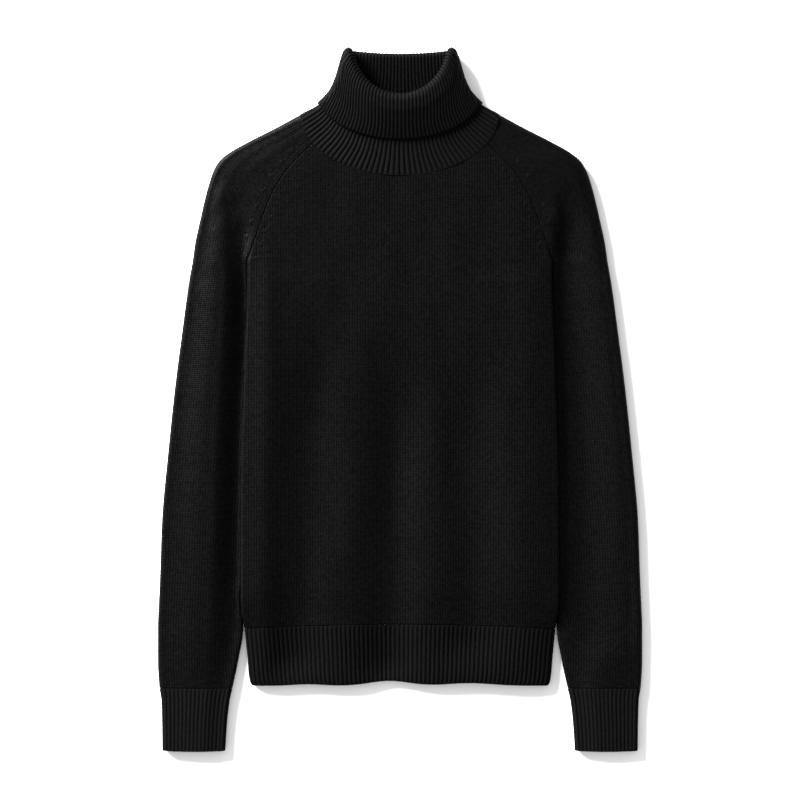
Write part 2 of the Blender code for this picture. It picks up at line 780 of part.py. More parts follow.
front_panel(knit_material("front_knit", PLAIN_KNIT, PLAIN_ROUGHNESS))
back_panel(knit_material("back_knit", PLAIN_KNIT, PLAIN_ROUGHNESS))
sleeve("left_sleeve", 1.0, knit_material("left_sleeve_knit", PLAIN_KNIT, PLAIN_ROUGHNESS))
sleeve("right_sleeve", -1.0, knit_material("right_sleeve_knit", PLAIN_KNIT, PLAIN_ROUGHNESS))
front_hem_band(knit_material("front_hem_knit", RIB_KNIT, RIB_ROUGHNESS))
back_hem_band(knit_material("back_hem_knit", RIB_KNIT, RIB_ROUGHNESS))
cuff("left_cuff", 1.0, knit_material("left_cuff_knit", RIB_KNIT, RIB_ROUGHNESS))
cuff("right_cuff", -1.0, knit_material("right_cuff_knit", RIB_KNIT, RIB_ROUGHNESS))
collar(knit_material("collar_knit", RIB_KNIT, RIB_ROUGHNESS))
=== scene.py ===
import math
from collections import namedtuple

import bpy
import numpy as np
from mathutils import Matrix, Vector


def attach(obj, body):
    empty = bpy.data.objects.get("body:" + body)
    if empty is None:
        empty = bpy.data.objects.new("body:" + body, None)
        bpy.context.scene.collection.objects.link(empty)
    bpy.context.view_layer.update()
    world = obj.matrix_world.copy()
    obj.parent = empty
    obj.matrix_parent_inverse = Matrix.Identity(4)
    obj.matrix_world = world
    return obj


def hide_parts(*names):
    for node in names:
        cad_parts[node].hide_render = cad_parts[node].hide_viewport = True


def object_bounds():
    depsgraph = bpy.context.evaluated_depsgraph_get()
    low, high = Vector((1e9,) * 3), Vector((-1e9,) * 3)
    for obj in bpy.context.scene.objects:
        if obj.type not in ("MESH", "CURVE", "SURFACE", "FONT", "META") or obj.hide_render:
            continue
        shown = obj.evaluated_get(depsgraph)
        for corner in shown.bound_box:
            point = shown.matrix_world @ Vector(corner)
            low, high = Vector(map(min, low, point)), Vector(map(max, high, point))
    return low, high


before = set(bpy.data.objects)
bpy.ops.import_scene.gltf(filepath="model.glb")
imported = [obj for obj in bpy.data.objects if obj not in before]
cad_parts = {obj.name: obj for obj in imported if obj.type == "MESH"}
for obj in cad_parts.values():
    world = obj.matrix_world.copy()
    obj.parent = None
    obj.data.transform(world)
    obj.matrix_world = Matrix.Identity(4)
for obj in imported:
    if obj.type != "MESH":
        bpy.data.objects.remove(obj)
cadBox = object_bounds()
print("frame loaded:", len(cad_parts), "nodes")

# Lengths are in metres. The sweater lies on the floor with its front up, the collar towards +Y
# and the wearer's left towards +X. Each piece is a thin shell of knitted cloth. It is drawn as
# sections, smoothed through them, and given ribs and seams in its own shape.

cloth = {
    "plainThickness": 0.0018,
    "ribThickness": 0.0024,
    "collarThickness": 0.0026,
    "seam": 0.0003,
    "rim": 0.0011,  # how far in from an edge the cloth rounds off
    "seamRim": 0.0004,  # the same where two pieces are joined
    "rimPoints": 5,
    "leastEdge": 0.16,  # share of the thickness that is left at a rounded edge
    "ribStart": 0.004,  # the ribs of the hem and cuffs grow to their height over this length
    "mapStart": 1.0,  # keeps the map of the stitches clear of zero
    "levelPoints": 361,  # points a section of the body is drawn through
    "runPoints": 200,  # and a level run of a sleeve's section
    "arcPoints": 17,  # and a fold round an edge
    "floorGap": 0.0004,
}

# curves and grids


def ease(share):
    share = np.clip(share, 0.0, 1.0)
    return share * share * (3.0 - 2.0 * share)


def easedThrough(knots, spot):
    # height at each spot, eased between (spot, height) knots
    height = np.full(np.shape(spot), knots[-1][1], float)
    for (start, low), (end, high) in reversed(list(zip(knots, knots[1:]))):
        here = spot <= end
        height = np.where(here, low + (high - low) * ease((spot - start) / (end - start)), height)
    return height


def smoothThrough(values, places, wanted):
    # a curve through values given at places, with no bulge past them
    gaps = np.diff(places)
    gaps = gaps.reshape(-1, *([1] * (values.ndim - 1)))
    steps = np.diff(values, axis=0) / gaps
    slopes = np.empty_like(values)
    slopes[0] = steps[0]
    slopes[-1] = steps[-1]
    same = steps[:-1] * steps[1:] > 0.0
    before = 2.0 * gaps[1:] + gaps[:-1]
    after = gaps[1:] + 2.0 * gaps[:-1]
    first = np.where(same, steps[:-1], 1.0)
    second = np.where(same, steps[1:], 1.0)
    slopes[1:-1] = np.where(same, (before + after) / (before / first + after / second), 0.0)
    index = np.clip(np.searchsorted(places, wanted, side="right") - 1, 0, len(gaps) - 1)
    gap = gaps[index]
    share = (wanted - places[index]).reshape(-1, *([1] * (values.ndim - 1))) / gap
    rise = ease(share)
    swing = share * (share - 1.0)
    return (
        values[index] * (1.0 - rise)
        + values[index + 1] * rise
        + gap * swing * ((share - 1.0) * slopes[index] + share * slopes[index + 1])
    )


def lengthAlong(points):
    steps = np.linalg.norm(np.diff(points, axis=0), axis=1)
    return np.concatenate([[0.0], np.cumsum(steps)])


def pick(points, outward, shares, heightShare=1.0):
    # points and outward directions at shares of a curve's length
    along = lengthAlong(points * (1.0, 1.0, heightShare))
    wanted = np.asarray(shares) * along[-1]
    picked = np.stack([np.interp(wanted, along, points[:, k]) for k in range(3)], axis=1)
    facing = np.stack([np.interp(wanted, along, outward[:, k]) for k in range(3)], axis=1)
    return picked, unit(facing)


def unit(vectors):
    return vectors / np.linalg.norm(vectors, axis=-1, keepdims=True)


def spread(length, stretches, rim=0.0):
    # places from 0 to length: (end, step) stretches, and close together where an edge rounds off
    places = []
    start = rim
    for end, step in stretches:
        end = min(end, length - rim)
        if end - start > 0.5 * step:
            places.append(np.linspace(start, end, max(round((end - start) / step), 1) + 1)[:-1])
            start = end
    places.append([length - rim])
    if rim:
        curl = rim * (1.0 - np.cos(np.linspace(0.0, math.pi / 2, cloth["rimPoints"])[:-1]))
        places = [curl] + places + [length - curl[::-1]]
    return np.concatenate(places)


def loft(rows, stretches, rim=0.0):
    # rows of (points, outward) become a fine grid, its outward directions and places along it
    points = np.array([row[0] for row in rows])
    outward = np.array([row[1] for row in rows])
    steps = np.linalg.norm(np.diff(points, axis=0), axis=2).mean(axis=1)
    places = np.concatenate([[0.0], np.cumsum(steps)])
    wanted = spread(places[-1], stretches, rim)
    grid = smoothThrough(points, places, wanted)
    facing = unit(smoothThrough(outward, places, wanted))
    return grid, facing, wanted


def edgeRound(distance, rim):
    # 1 inside the cloth, falling round to almost 0 at its edge
    inside = 1.0 - np.clip(distance / rim, 0.0, 1.0)
    return np.maximum(np.sqrt(1.0 - inside**2), cloth["leastEdge"])


def endsRound(places, startRim, endRim):
    return edgeRound(places - places[0], startRim) * edgeRound(places[-1] - places, endRim)


def ripple(x, y, sizes):
    # slow uneven waves of the cloth, as (height, wave length, direction, phase)
    total = np.zeros(np.shape(x))
    for height, wave, turn, phase in sizes:
        along = x * math.cos(turn) + y * math.sin(turn)
        total += height * np.sin(2.0 * math.pi * along / wave + phase)
    return total


def bump(x, middle, halfWidth):
    return np.exp(-(((x - middle) / halfWidth) ** 2))


def knitMap(across, along):
    # where each point lies on the flat cloth, for its stitches
    start = cloth["mapStart"]
    return np.stack(np.broadcast_arrays(start + across, start + along), axis=-1)


# shells


def meshGrid(name, layers, uv, ring):
    # one closed mesh from an outer and an inner grid of points
    rows, columns = layers[0].shape[:2]
    points = np.arange(rows * columns).reshape(rows, columns)
    corners = np.arange(uv.shape[0] * uv.shape[1]).reshape(uv.shape[:2])
    if ring:
        points = np.concatenate([points, points[:, :1]], axis=1)

    def facesOf(index, shift):
        quads = np.stack(
            [index[:-1, :-1], index[:-1, 1:], index[1:, 1:], index[1:, :-1]], axis=-1
        ).reshape(-1, 4)
        parts = [quads, quads[:, ::-1] + shift]
        for edge in (index[0], index[-1, ::-1]):
            parts.append(np.stack([edge[1:], edge[:-1], edge[:-1] + shift, edge[1:] + shift], 1))
        if not ring:
            for edge in (index[::-1, 0], index[:, -1]):
                parts.append(
                    np.stack([edge[1:], edge[:-1], edge[:-1] + shift, edge[1:] + shift], 1)
                )
        return np.concatenate(parts)

    faces = facesOf(points, rows * columns)
    loops = facesOf(corners, 0)
    allPoints = np.concatenate([layer.reshape(-1, 3) for layer in layers])
    first = allPoints[faces[0]]
    normal = np.cross(first[1] - first[0], first[3] - first[0])
    if np.dot(normal, (layers[0] - layers[1])[0, 0]) < 0.0:
        faces = faces[:, ::-1]
        loops = loops[:, ::-1]
    mesh = bpy.data.meshes.new(name)
    mesh.from_pydata(allPoints.tolist(), [], faces.tolist())
    layer = mesh.uv_layers.new(name="knit")
    layer.data.foreach_set("uv", uv.reshape(-1, 2)[loops.ravel()].ravel())
    mesh.shade_smooth()
    return mesh


def knitShell(name, grid, facing, thickness, uv, rounding=1.0, over=0.0, under=0.0, ring=False,
              crest=None):
    # a closed shell of cloth, with its relief on the outside (over) and the inside (under);
    # crest is 1 on a rib and 0 in its valley, outside and inside; the material paints shade into the
    # valleys from it
    half = 0.5 * thickness
    middle = grid - half * facing
    outer = middle + ((half + over) * rounding)[..., None] * facing
    inner = middle - ((half + under) * rounding)[..., None] * facing
    piece = bpy.data.objects.new(name, meshGrid(name, (outer, inner), uv, ring))
    if crest is not None:
        layer = piece.data.attributes.new("crest", "FLOAT", "POINT")
        layer.data.foreach_set("value", np.stack(crest).ravel())
    bpy.context.scene.collection.objects.link(piece)
    print(name, "shell:", len(piece.data.polygons), "faces")
    return piece


def finishPiece(piece, node, material):
    piece.data.materials.append(material)
    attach(piece, "root")
    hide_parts(node)


# shader groups


def newGroup(name, inputs, outputs):
    group = bpy.data.node_groups.new(name, "ShaderNodeTree")
    for socket, kind in inputs:
        group.interface.new_socket(name=socket, in_out="INPUT", socket_type=kind)
    for socket, kind in outputs:
        group.interface.new_socket(name=socket, in_out="OUTPUT", socket_type=kind)
    return group, group.nodes.new("NodeGroupInput"), group.nodes.new("NodeGroupOutput")


def mathStep(tree, operation, *values):
    step = tree.nodes.new("ShaderNodeMath")
    step.operation = operation
    for socket, value in zip(step.inputs, values):
        if isinstance(value, bpy.types.NodeSocket):
            tree.links.new(value, socket)
        else:
            socket.default_value = value
    return step.outputs[0]


def noiseStep(tree, vector, scale, detail):
    noise = tree.nodes.new("ShaderNodeTexNoise")
    noise.inputs["Detail"].default_value = detail
    tree.links.new(vector, noise.inputs["Vector"])
    if isinstance(scale, bpy.types.NodeSocket):
        tree.links.new(scale, noise.inputs["Scale"])
    else:
        noise.inputs["Scale"].default_value = scale
    return noise.outputs["Fac"]


stitchShape = {
    "wanderScale": 190.0,
    "wanderDetail": 2.0,
    "legPower": 2.6,  # how flat the top of a stitch is across
    "splitPower": 14.0,  # how narrow the cleft between its two legs is
    "splitDepth": 0.45,
    "slant": 0.8,  # how far a leg rises across its width, in courses
    "courseDepth": 0.60,
}


def makeStitchGroup():
    # columns of V-shaped stitches: each wale is two slanting legs, one V a course
    group, start, end = newGroup(
        "knitStitches",
        [
            ("Vector", "NodeSocketVector"),
            ("Wale", "NodeSocketFloat"),
            ("Course", "NodeSocketFloat"),
            ("Wander", "NodeSocketFloat"),
        ],
        [("Height", "NodeSocketFloat"), ("Cell", "NodeSocketVector")],
    )

    def step(operation, *values):
        return mathStep(group, operation, *values)

    def arch(share):
        # 1 in the middle of a cell and 0 at its ends
        return step("SUBTRACT", 1.0, step("POWER", step("ABSOLUTE", share), 2.0))

    shape = stitchShape
    wander = noiseStep(
        group, start.outputs["Vector"], shape["wanderScale"], shape["wanderDetail"]
    )
    wander = step("SUBTRACT", wander, 0.5)
    wander = step("MULTIPLY", wander, start.outputs["Wander"])
    axes = group.nodes.new("ShaderNodeSeparateXYZ")
    group.links.new(start.outputs["Vector"], axes.inputs[0])
    across = step("DIVIDE", step("ADD", axes.outputs["X"], wander), start.outputs["Wale"])
    fromMiddle = step("ABSOLUTE", step("SUBTRACT", step("FRACT", across), 0.5))
    column = step("SUBTRACT", 1.0, step("POWER", step("MULTIPLY", fromMiddle, 2.0), shape["legPower"]))
    split = step("POWER", step("SUBTRACT", 1.0, fromMiddle), shape["splitPower"])
    leg = step("MULTIPLY_ADD", split, -shape["splitDepth"], column)
    along = step("DIVIDE", step("ADD", axes.outputs["Y"], wander), start.outputs["Course"])
    along = step("MULTIPLY_ADD", fromMiddle, -shape["slant"], along)
    course = arch(step("MULTIPLY_ADD", step("FRACT", along), 2.0, -1.0))
    depth = shape["courseDepth"]
    height = step("MULTIPLY", leg, step("MULTIPLY_ADD", course, depth, 1.0 - depth))
    group.links.new(height, end.inputs["Height"])
    cell = group.nodes.new("ShaderNodeCombineXYZ")
    group.links.new(step("FLOOR", across), cell.inputs["X"])
    group.links.new(step("FLOOR", along), cell.inputs["Y"])
    group.links.new(cell.outputs["Vector"], end.inputs["Cell"])
    return group


yarnShape = {
    "detail": 3.0,
    "stitchShare": 0.45,  # how much of the unevenness is from stitch to stitch
}


def makeFuzzGroup():
    # the fibres that stand off the yarn, and how unevenly the stitches lie
    group, start, end = newGroup(
        "yarnFuzz",
        [
            ("Vector", "NodeSocketVector"),
            ("Cell", "NodeSocketVector"),
            ("Fibre", "NodeSocketFloat"),
            ("Patch", "NodeSocketFloat"),
        ],
        [("Fibre", "NodeSocketFloat"), ("Uneven", "NodeSocketFloat")],
    )
    fine = noiseStep(group, start.outputs["Vector"], start.outputs["Fibre"], yarnShape["detail"])
    group.links.new(fine, end.inputs["Fibre"])
    patch = noiseStep(group, start.outputs["Vector"], start.outputs["Patch"], yarnShape["detail"])
    chance = group.nodes.new("ShaderNodeTexWhiteNoise")
    chance.noise_dimensions = "2D"
    group.links.new(start.outputs["Cell"], chance.inputs["Vector"])
    stitchShare = yarnShape["stitchShare"]
    uneven = mathStep(group, "MULTIPLY", patch, 1.0 - stitchShare)
    uneven = mathStep(group, "MULTIPLY_ADD", chance.outputs["Value"], stitchShare, uneven)
    group.links.new(uneven, end.inputs["Uneven"])
    return group


stitchGroup = makeStitchGroup()
fuzzGroup = makeFuzzGroup()


def knitMaterial(name, look):
    material = bpy.data.materials.new(name)
    material.use_nodes = True
    tree = material.node_tree
    shader = tree.nodes["Principled BSDF"]
    shader.inputs["Roughness"].default_value = look["roughness"]
    where = tree.nodes.new("ShaderNodeUVMap")
    where.uv_map = "knit"
    stitches = tree.nodes.new("ShaderNodeGroup")
    stitches.node_tree = stitchGroup
    stitches.inputs["Wale"].default_value = look["wale"]
    stitches.inputs["Course"].default_value = look["course"]
    stitches.inputs["Wander"].default_value = look["wander"]
    fuzz = tree.nodes.new("ShaderNodeGroup")
    fuzz.node_tree = fuzzGroup
    fuzz.inputs["Fibre"].default_value = look["fibre"]
    fuzz.inputs["Patch"].default_value = look["patch"]
    tree.links.new(where.outputs["UV"], stitches.inputs["Vector"])
    tree.links.new(where.outputs["UV"], fuzz.inputs["Vector"])
    tree.links.new(stitches.outputs["Cell"], fuzz.inputs["Cell"])
    # painted shade: the gaps between stitches are darker in colour and gloss than the stitches' tops;
    # the uneven part is the yarn's own random tone
    shade = mathStep(tree, "MULTIPLY_ADD", stitches.outputs["Height"], look["stitchPaintedShade"],
                     look["baseShade"])
    shade = mathStep(tree, "MULTIPLY_ADD", fuzz.outputs["Uneven"], look["unevenShade"], shade)
    # painted shade: the valleys between ribs are darker, from the crest attribute
    if look["crestPaintedShade"]:
        crest = tree.nodes.new("ShaderNodeAttribute")
        crest.attribute_name = "crest"
        shade = mathStep(tree, "MULTIPLY_ADD", crest.outputs["Fac"], look["crestPaintedShade"], shade)
    shade = mathStep(tree, "MAXIMUM", shade, 0.0)
    mix = tree.nodes.new("ShaderNodeMix")
    mix.data_type = "RGBA"
    mix.inputs["A"].default_value = (*look["dark"], 1.0)
    mix.inputs["B"].default_value = (*look["light"], 1.0)
    tree.links.new(shade, mix.inputs["Factor"])
    tree.links.new(mix.outputs["Result"], shader.inputs["Base Color"])
    gloss = mathStep(tree, "MULTIPLY", shade, look["specular"])
    tree.links.new(gloss, shader.inputs["Specular IOR Level"])
    height = mathStep(tree, "MULTIPLY", fuzz.outputs["Fibre"], look["fibreHeight"])
    height = mathStep(tree, "MULTIPLY_ADD", fuzz.outputs["Uneven"], look["unevenHeight"], height)
    height = mathStep(tree, "ADD", stitches.outputs["Height"], height)
    bumpNode = tree.nodes.new("ShaderNodeBump")
    bumpNode.inputs["Strength"].default_value = look["bump"]
    bumpNode.inputs["Distance"].default_value = look["stitchDepth"]
    tree.links.new(height, bumpNode.inputs["Height"])
    tree.links.new(bumpNode.outputs["Normal"], shader.inputs["Normal"])
    return material


plainLook = {
    "dark": (0.0001, 0.0001, 0.0001),
    "light": (0.0008, 0.0008, 0.0008),
    "baseShade": -0.22,
    # painted shade: how much lighter a stitch's top is than the gap beside it
    "stitchPaintedShade": 1.0,
    "crestPaintedShade": 0.0,  # painted shade: how much darker the valley of a rib is than its crest
    "unevenShade": 0.8,
    "roughness": 0.47,
    "specular": 0.043,
    "wale": 0.00305,
    "course": 0.0023,
    "wander": 0.0009,
    "stitchDepth": 0.0004,
    "bump": 0.5,
    "fibre": 2600.0,
    "fibreHeight": 0.10,
    "patch": 260.0,
    "unevenHeight": 0.25,
}
ribLook = plainLook | {
    "dark": (0.0003, 0.0003, 0.0003),
    "light": (0.0022, 0.0022, 0.0022),
    "roughness": 0.6,
    "specular": 0.022,
    "stitchPaintedShade": 0.5,
    "crestPaintedShade": 0.70,
    "unevenShade": 0.5,
    "baseShade": -0.36,
    "wale": 0.0016,
    "course": 0.0016,
    "wander": 0.0005,
    "stitchDepth": 0.0003,
}
# copies of the rib knit with their own brightness; the cuffs' is lighter and glossier as painted
# light, for the light their relief catches
hemLook = ribLook | {"specular": 0.0150, "crestPaintedShade": 0.48, "baseShade": -0.26}
cuffLook = ribLook | {"specular": 0.026, "crestPaintedShade": 0.4, "baseShade": -0.14}

# front and back

bodyRow = namedtuple("bodyRow", "y bow halfWidth crown lift")
hemRow = namedtuple("hemRow", "reach halfWidth crown")
yokeRow = namedtuple(
    "yokeRow",
    "frontX frontY outerX outerY backX backY turn frontZ ledge trough troughZ crown crownZ outerR "
    "backZ",
)
foldLine = namedtuple("foldLine", "xTop yTop xBottom yBottom halfWidth depth")

bodyCut = {
    "edgeRadius": 0.0043,  # the rounded fold down each side
    "ramp": 0.026,  # how far in from the fold the back rises over the sleeve
    "rows": [
        bodyRow(-0.2630, 0.0050, 0.1786, 0.0128, 0.0000),
        bodyRow(-0.2450, 0.0070, 0.1823, 0.0138, 0.0034),
        bodyRow(-0.2250, 0.0050, 0.1834, 0.0152, 0.0056),
        bodyRow(-0.1800, 0.0030, 0.1834, 0.0167, 0.0056),
        bodyRow(-0.1200, 0.0010, 0.1832, 0.0169, 0.0056),
        bodyRow(-0.0600, 0.0000, 0.1826, 0.0170, 0.0056),
        bodyRow(0.0000, 0.0000, 0.1806, 0.0170, 0.0056),
        bodyRow(0.0600, 0.0000, 0.1787, 0.0168, 0.0056),
        bodyRow(0.1050, 0.0000, 0.1764, 0.0164, 0.0056),
        bodyRow(0.1350, 0.0000, 0.1757, 0.0161, 0.0056),
    ],
    "fullness": 9.0,  # how flat the front stays before it falls to the side folds
    "yokeFullness": 3.0,
    "sag": 0.0034,  # the middle lies lower than the rolls beside the side folds
    "sagWidth": 0.86,
    "sagTop": 0.11,
    "sagReach": 0.18,  # the sag grows over this length below its top
    "hemSag": 0.35,  # share of the sag that is left at the hem
    "hemReach": 0.08,
    "yokeCrown": 0.0160,
    "yokeBow": 1.5,
    "folds": [
        foldLine(-0.088, 0.160, -0.124, -0.340, 0.036, 0.0074),
        foldLine(0.000, 0.130, -0.014, -0.345, 0.029, 0.0070),
        foldLine(0.080, 0.120, 0.084, -0.320, 0.033, 0.0046),
        foldLine(-0.153, 0.300, -0.157, -0.340, 0.014, -0.0025),
        foldLine(0.150, 0.340, 0.152, -0.340, 0.032, -0.0014),
    ],
    "foldFade": 0.20,  # a fold grows over this length, and ends over the next
    "foldEnd": 0.05,
    "foldEdge": 8,  # power by which the folds fade out at the sides
    "rippleEdge": 4,  # and the ripples
    "sectionWidth": 0.36,  # usual width of the cloth, for its columns and stitches
    "frontColumns": (0.016, 0.00055, 0.0028),  # width of an edge, step in it and between
    "backColumns": (0.032, 0.0016, 0.0048),
    "frontSteps": [(0.416, 0.0036), (1.0, 0.0015)],  # up to a length, and step to there
    "backSteps": [(1.0, 0.0042)],
    "ripples": [
        (0.00016, 0.083, 0.25, 0.4),
        (0.00014, 0.061, -0.35, 2.1),
        (0.00010, 0.037, 0.10, 1.2),
        (0.00008, 0.049, 1.25, 0.7),
    ],
}

yokeRows = [
    yokeRow(0.1758, 0.1584, 0.2385, 0.1600, 0.1758, 0.1584, 1.0, 0.0142, 0.01, 0.08, 0.0086,
            0.49, 0.0152, 0.0048, 0.0056),
    yokeRow(0.1725, 0.1675, 0.2354, 0.1800, 0.1710, 0.1680, 0.5, 0.0142, 0.01, 0.15, 0.0095,
            0.56, 0.0152, 0.0050, 0.0040),
    yokeRow(0.1675, 0.1810, 0.2293, 0.2080, 0.1635, 0.1835, 0.0, 0.0142, 0.01, 0.24, 0.0104,
            0.65, 0.0150, 0.0053, 0.0022),
    yokeRow(0.1592, 0.2048, 0.2216, 0.2405, 0.1505, 0.2100, 0.0, 0.0145, 0.01, 0.49, 0.0122,
            0.80, 0.0138, 0.0056, 0.0006),
    yokeRow(0.1524, 0.2233, 0.2142, 0.2630, 0.1400, 0.2295, 0.0, 0.0147, 0.01, 0.50, 0.0133,
            0.75, 0.0131, 0.0057, 0.0),
    yokeRow(0.1456, 0.2385, 0.2075, 0.2743, 0.1300, 0.2455, 0.0, 0.0148, 0.01, 0.50, 0.0138,
            0.75, 0.0131, 0.0058, 0.0),
    yokeRow(0.1355, 0.2553, 0.1950, 0.2844, 0.1185, 0.2625, 0.0, 0.0149, 0.01, 0.50, 0.0142,
            0.75, 0.0133, 0.0060, 0.0),
    yokeRow(0.1220, 0.2723, 0.1725, 0.2970, 0.1055, 0.2800, 0.0, 0.0150, 0.01, 0.50, 0.0145,
            0.75, 0.0136, 0.0062, 0.0),
    yokeRow(0.1095, 0.2847, 0.1420, 0.3125, 0.0915, 0.2970, 0.0, 0.0150, 0.01, 0.50, 0.0145,
            0.75, 0.0138, 0.0064, 0.0),
    yokeRow(0.0995, 0.2944, 0.1139, 0.3275, 0.0790, 0.3135, 0.0, 0.0150, 0.01, 0.50, 0.0144,
            0.75, 0.0137, 0.0065, 0.0),
]

neckCut = {
    "y": 0.3265,
    "halfWidth": 0.1123,
    "drop": 0.0680,
    "sweep": math.radians(85.6),  # from the middle of the front to the shoulder fold
    "backY": 0.3085,
    "backPower": 2.5,
    "facing": math.radians(72.5),
    "gap": 0.0004,
}
neckHalf = neckCut["halfWidth"] + neckCut["gap"]
neckDrop = neckCut["drop"] + neckCut["gap"]


def neckFront(x):
    share = np.minimum(np.abs(x) / neckHalf, 1.0)
    return neckCut["y"] - neckDrop * np.sqrt(1.0 - share * share)


def neckSide():
    x = neckHalf * math.sin(neckCut["sweep"])
    return x, neckCut["y"] - neckDrop * math.cos(neckCut["sweep"])


def neckBack(x):
    sideX, sideY = neckSide()
    low = neckCut["backY"] - neckCut["gap"]
    return low + (sideY - low) * np.minimum(np.abs(x) / sideX, 1.0) ** neckCut["backPower"]


def foldDepth(x, y):
    # how far the soft folds lower the front
    total = np.zeros(np.shape(x))
    for fold in bodyCut["folds"]:
        along = (fold.yTop - y) / (fold.yTop - fold.yBottom)
        middle = fold.xTop + (fold.xBottom - fold.xTop) * along
        grown = ease((fold.yTop - y) / bodyCut["foldFade"])
        ended = ease((y - fold.yBottom) / bodyCut["foldEnd"])
        total += fold.depth * grown * ended * bump(x, middle, fold.halfWidth)
    return total


def acrossBody(rowY, halfWidth, height, arcFrom, arcTo, lower):
    # a section from one side to the other: level with height(x), then round each side fold
    edge = bodyCut["edgeRadius"]
    middleX = halfWidth - edge * math.cos(arcTo)
    x = np.linspace(-middleX, middleX, cloth["levelPoints"])
    angles = np.linspace(arcFrom, arcTo, cloth["arcPoints"])[1:]
    arcX = middleX + edge * np.cos(angles)
    arcZ = height(middleX) - edge * math.sin(arcFrom) + edge * np.sin(angles)
    everyX = np.concatenate([-arcX[::-1], x, arcX])
    everyZ = np.concatenate([arcZ[::-1], height(x), arcZ])
    points = np.stack([everyX, rowY(everyX), everyZ], axis=1)
    points[[0, -1], 2] += lower
    up = math.sin(arcFrom)
    outX = np.concatenate([-np.cos(angles[::-1]), np.zeros(len(x)), np.cos(angles)])
    outZ = np.concatenate([np.sin(angles[::-1]), np.full(len(x), up), np.sin(angles)])
    outward = np.stack([outX, np.zeros(len(outX)), outZ], axis=1)
    return points, outward


def frontSection(rowY, halfWidth, edgeZ, crown, fullness, turn=1.0, sag=0.0):
    end = math.radians(90.0) * (1.0 - turn)
    reach = halfWidth - bodyCut["edgeRadius"] * math.cos(end)

    def height(x):
        across = np.minimum(np.abs(x) / reach, 1.0)
        lower = sag * (1.0 - ease(across / bodyCut["sagWidth"]))
        return edgeZ + (crown - edgeZ) * (1.0 - across**fullness) - lower

    side = cloth["seam"] / 2 if turn == 1.0 else 0.0
    return acrossBody(rowY, halfWidth, height, math.radians(90.0), end, side)


def sagAt(y):
    # the front's middle sinks below the yoke, and less near the hem
    cut = bodyCut
    low = cut["hemSag"] + (1.0 - cut["hemSag"]) * ease((y - cut["rows"][0].y) / cut["hemReach"])
    return cut["sag"] * low * ease((cut["sagTop"] - y) / cut["sagReach"])


def backSection(rowY, halfWidth, lift, turn=1.0):
    end = math.radians(-90.0) * (1.0 - turn)
    reach = halfWidth - bodyCut["edgeRadius"] * math.cos(end)

    def height(x):
        return lift * ease((np.abs(x) - reach + bodyCut["ramp"]) / bodyCut["ramp"])

    lower = -cloth["seam"] / 2 if turn == 1.0 else 0.0
    return acrossBody(rowY, halfWidth, height, math.radians(-90.0), end, lower)


def bowed(y, bow, halfWidth):
    return lambda x: y + bow * (1.0 - np.minimum(np.abs(x) / halfWidth, 1.0) ** 2)


def yokeCurve(row, seamX, seamY, lastX, neck):
    # a row between the raglan seams takes up more of the neck's curve the higher it lies
    first = yokeRows[0].frontY
    share = ((row.frontY - first) / (yokeRows[-1].frontY - first)) ** bodyCut["yokeBow"]
    return lambda x: seamY - share * (
        neck(lastX) - neck(np.minimum(np.abs(x) / seamX, 1.0) * lastX)
    )


def seamLine(points):
    # a smooth line on plan through the points of a seam
    points = np.array(points)
    along = lengthAlong(points)
    places = np.linspace(0.0, along[-1], raglanLook["seamPoints"])
    return smoothThrough(points, along, places), places


def fromSeam(x, y, line, places):
    # distance from a seam on plan, and place along it
    distance = np.full(x.shape, np.inf)
    along = np.zeros(x.shape)
    for (seamX, seamY), spot in zip(line, places):
        away = np.hypot(np.abs(x) - seamX, y - seamY)
        nearer = away < distance
        distance = np.where(nearer, away, distance)
        along = np.where(nearer, spot, along)
    return distance, along


raglanLook = {
    "bandWidth": 0.0072,  # the edge stitches that run along the seam
    "ridge": 0.0019,
    "ridgeHeight": 0.00005,
    "grooveDepth": 0.00010,
    "frontMark": 0.0078,  # how far from the seam the narrowing marks lie
    "frontPitch": 0.0165,
    "sleeveMark": 0.0112,
    "sleevePitch": 0.0185,
    "markHeight": 0.0005,
    "markSize": 0.0017,
    "markShift": -0.5,  # along the seam from the middle of its pitch, in mark sizes
    "dimpleShift": 1.3,
    "dimpleSize": 0.8,  # in mark sizes
    "bandBlur": 0.0008,
    "fadeIn": 0.012,
    "fadeOut": 0.010,
    "seamPoints": 400,  # points its distance is measured from
}
raglanSeam, raglanPlaces = seamLine([(row.frontX, row.frontY) for row in yokeRows])


def raglanRelief(grid, markPlace, pitch):
    # stitches that run along the seam, the groove where they end, and the narrowing marks
    look = raglanLook
    distance, along = fromSeam(grid[..., 0], grid[..., 1], raglanSeam, raglanPlaces)
    inBand = ease((look["bandWidth"] - distance) / look["bandBlur"])
    relief = look["ridgeHeight"] * np.cos(2.0 * math.pi * distance / look["ridge"]) * inBand
    relief -= look["grooveDepth"] * bump(distance, look["bandWidth"], look["bandBlur"])
    shift = ((along / pitch) % 1.0 - 0.5) * pitch
    size = look["markSize"]
    mark = bump(distance, markPlace, size) * bump(shift, look["markShift"] * size, size)
    small = look["dimpleSize"] * size
    dimple = bump(distance, markPlace, small) * bump(shift, look["dimpleShift"] * size, small)
    fade = ease(along / look["fadeIn"]) * ease((raglanPlaces[-1] - along) / look["fadeOut"])
    return (relief + look["markHeight"] * (mark - dimple)) * fade


def pressFolds(grid):
    # lowers the front where its folds run, and gives each point's share of the way to the side
    x, y = grid[..., 0], grid[..., 1]
    across = np.abs(x) / np.abs(x).max(axis=1, keepdims=True)
    grid[..., 2] -= foldDepth(x, y) * (1.0 - across ** bodyCut["foldEdge"])
    return across


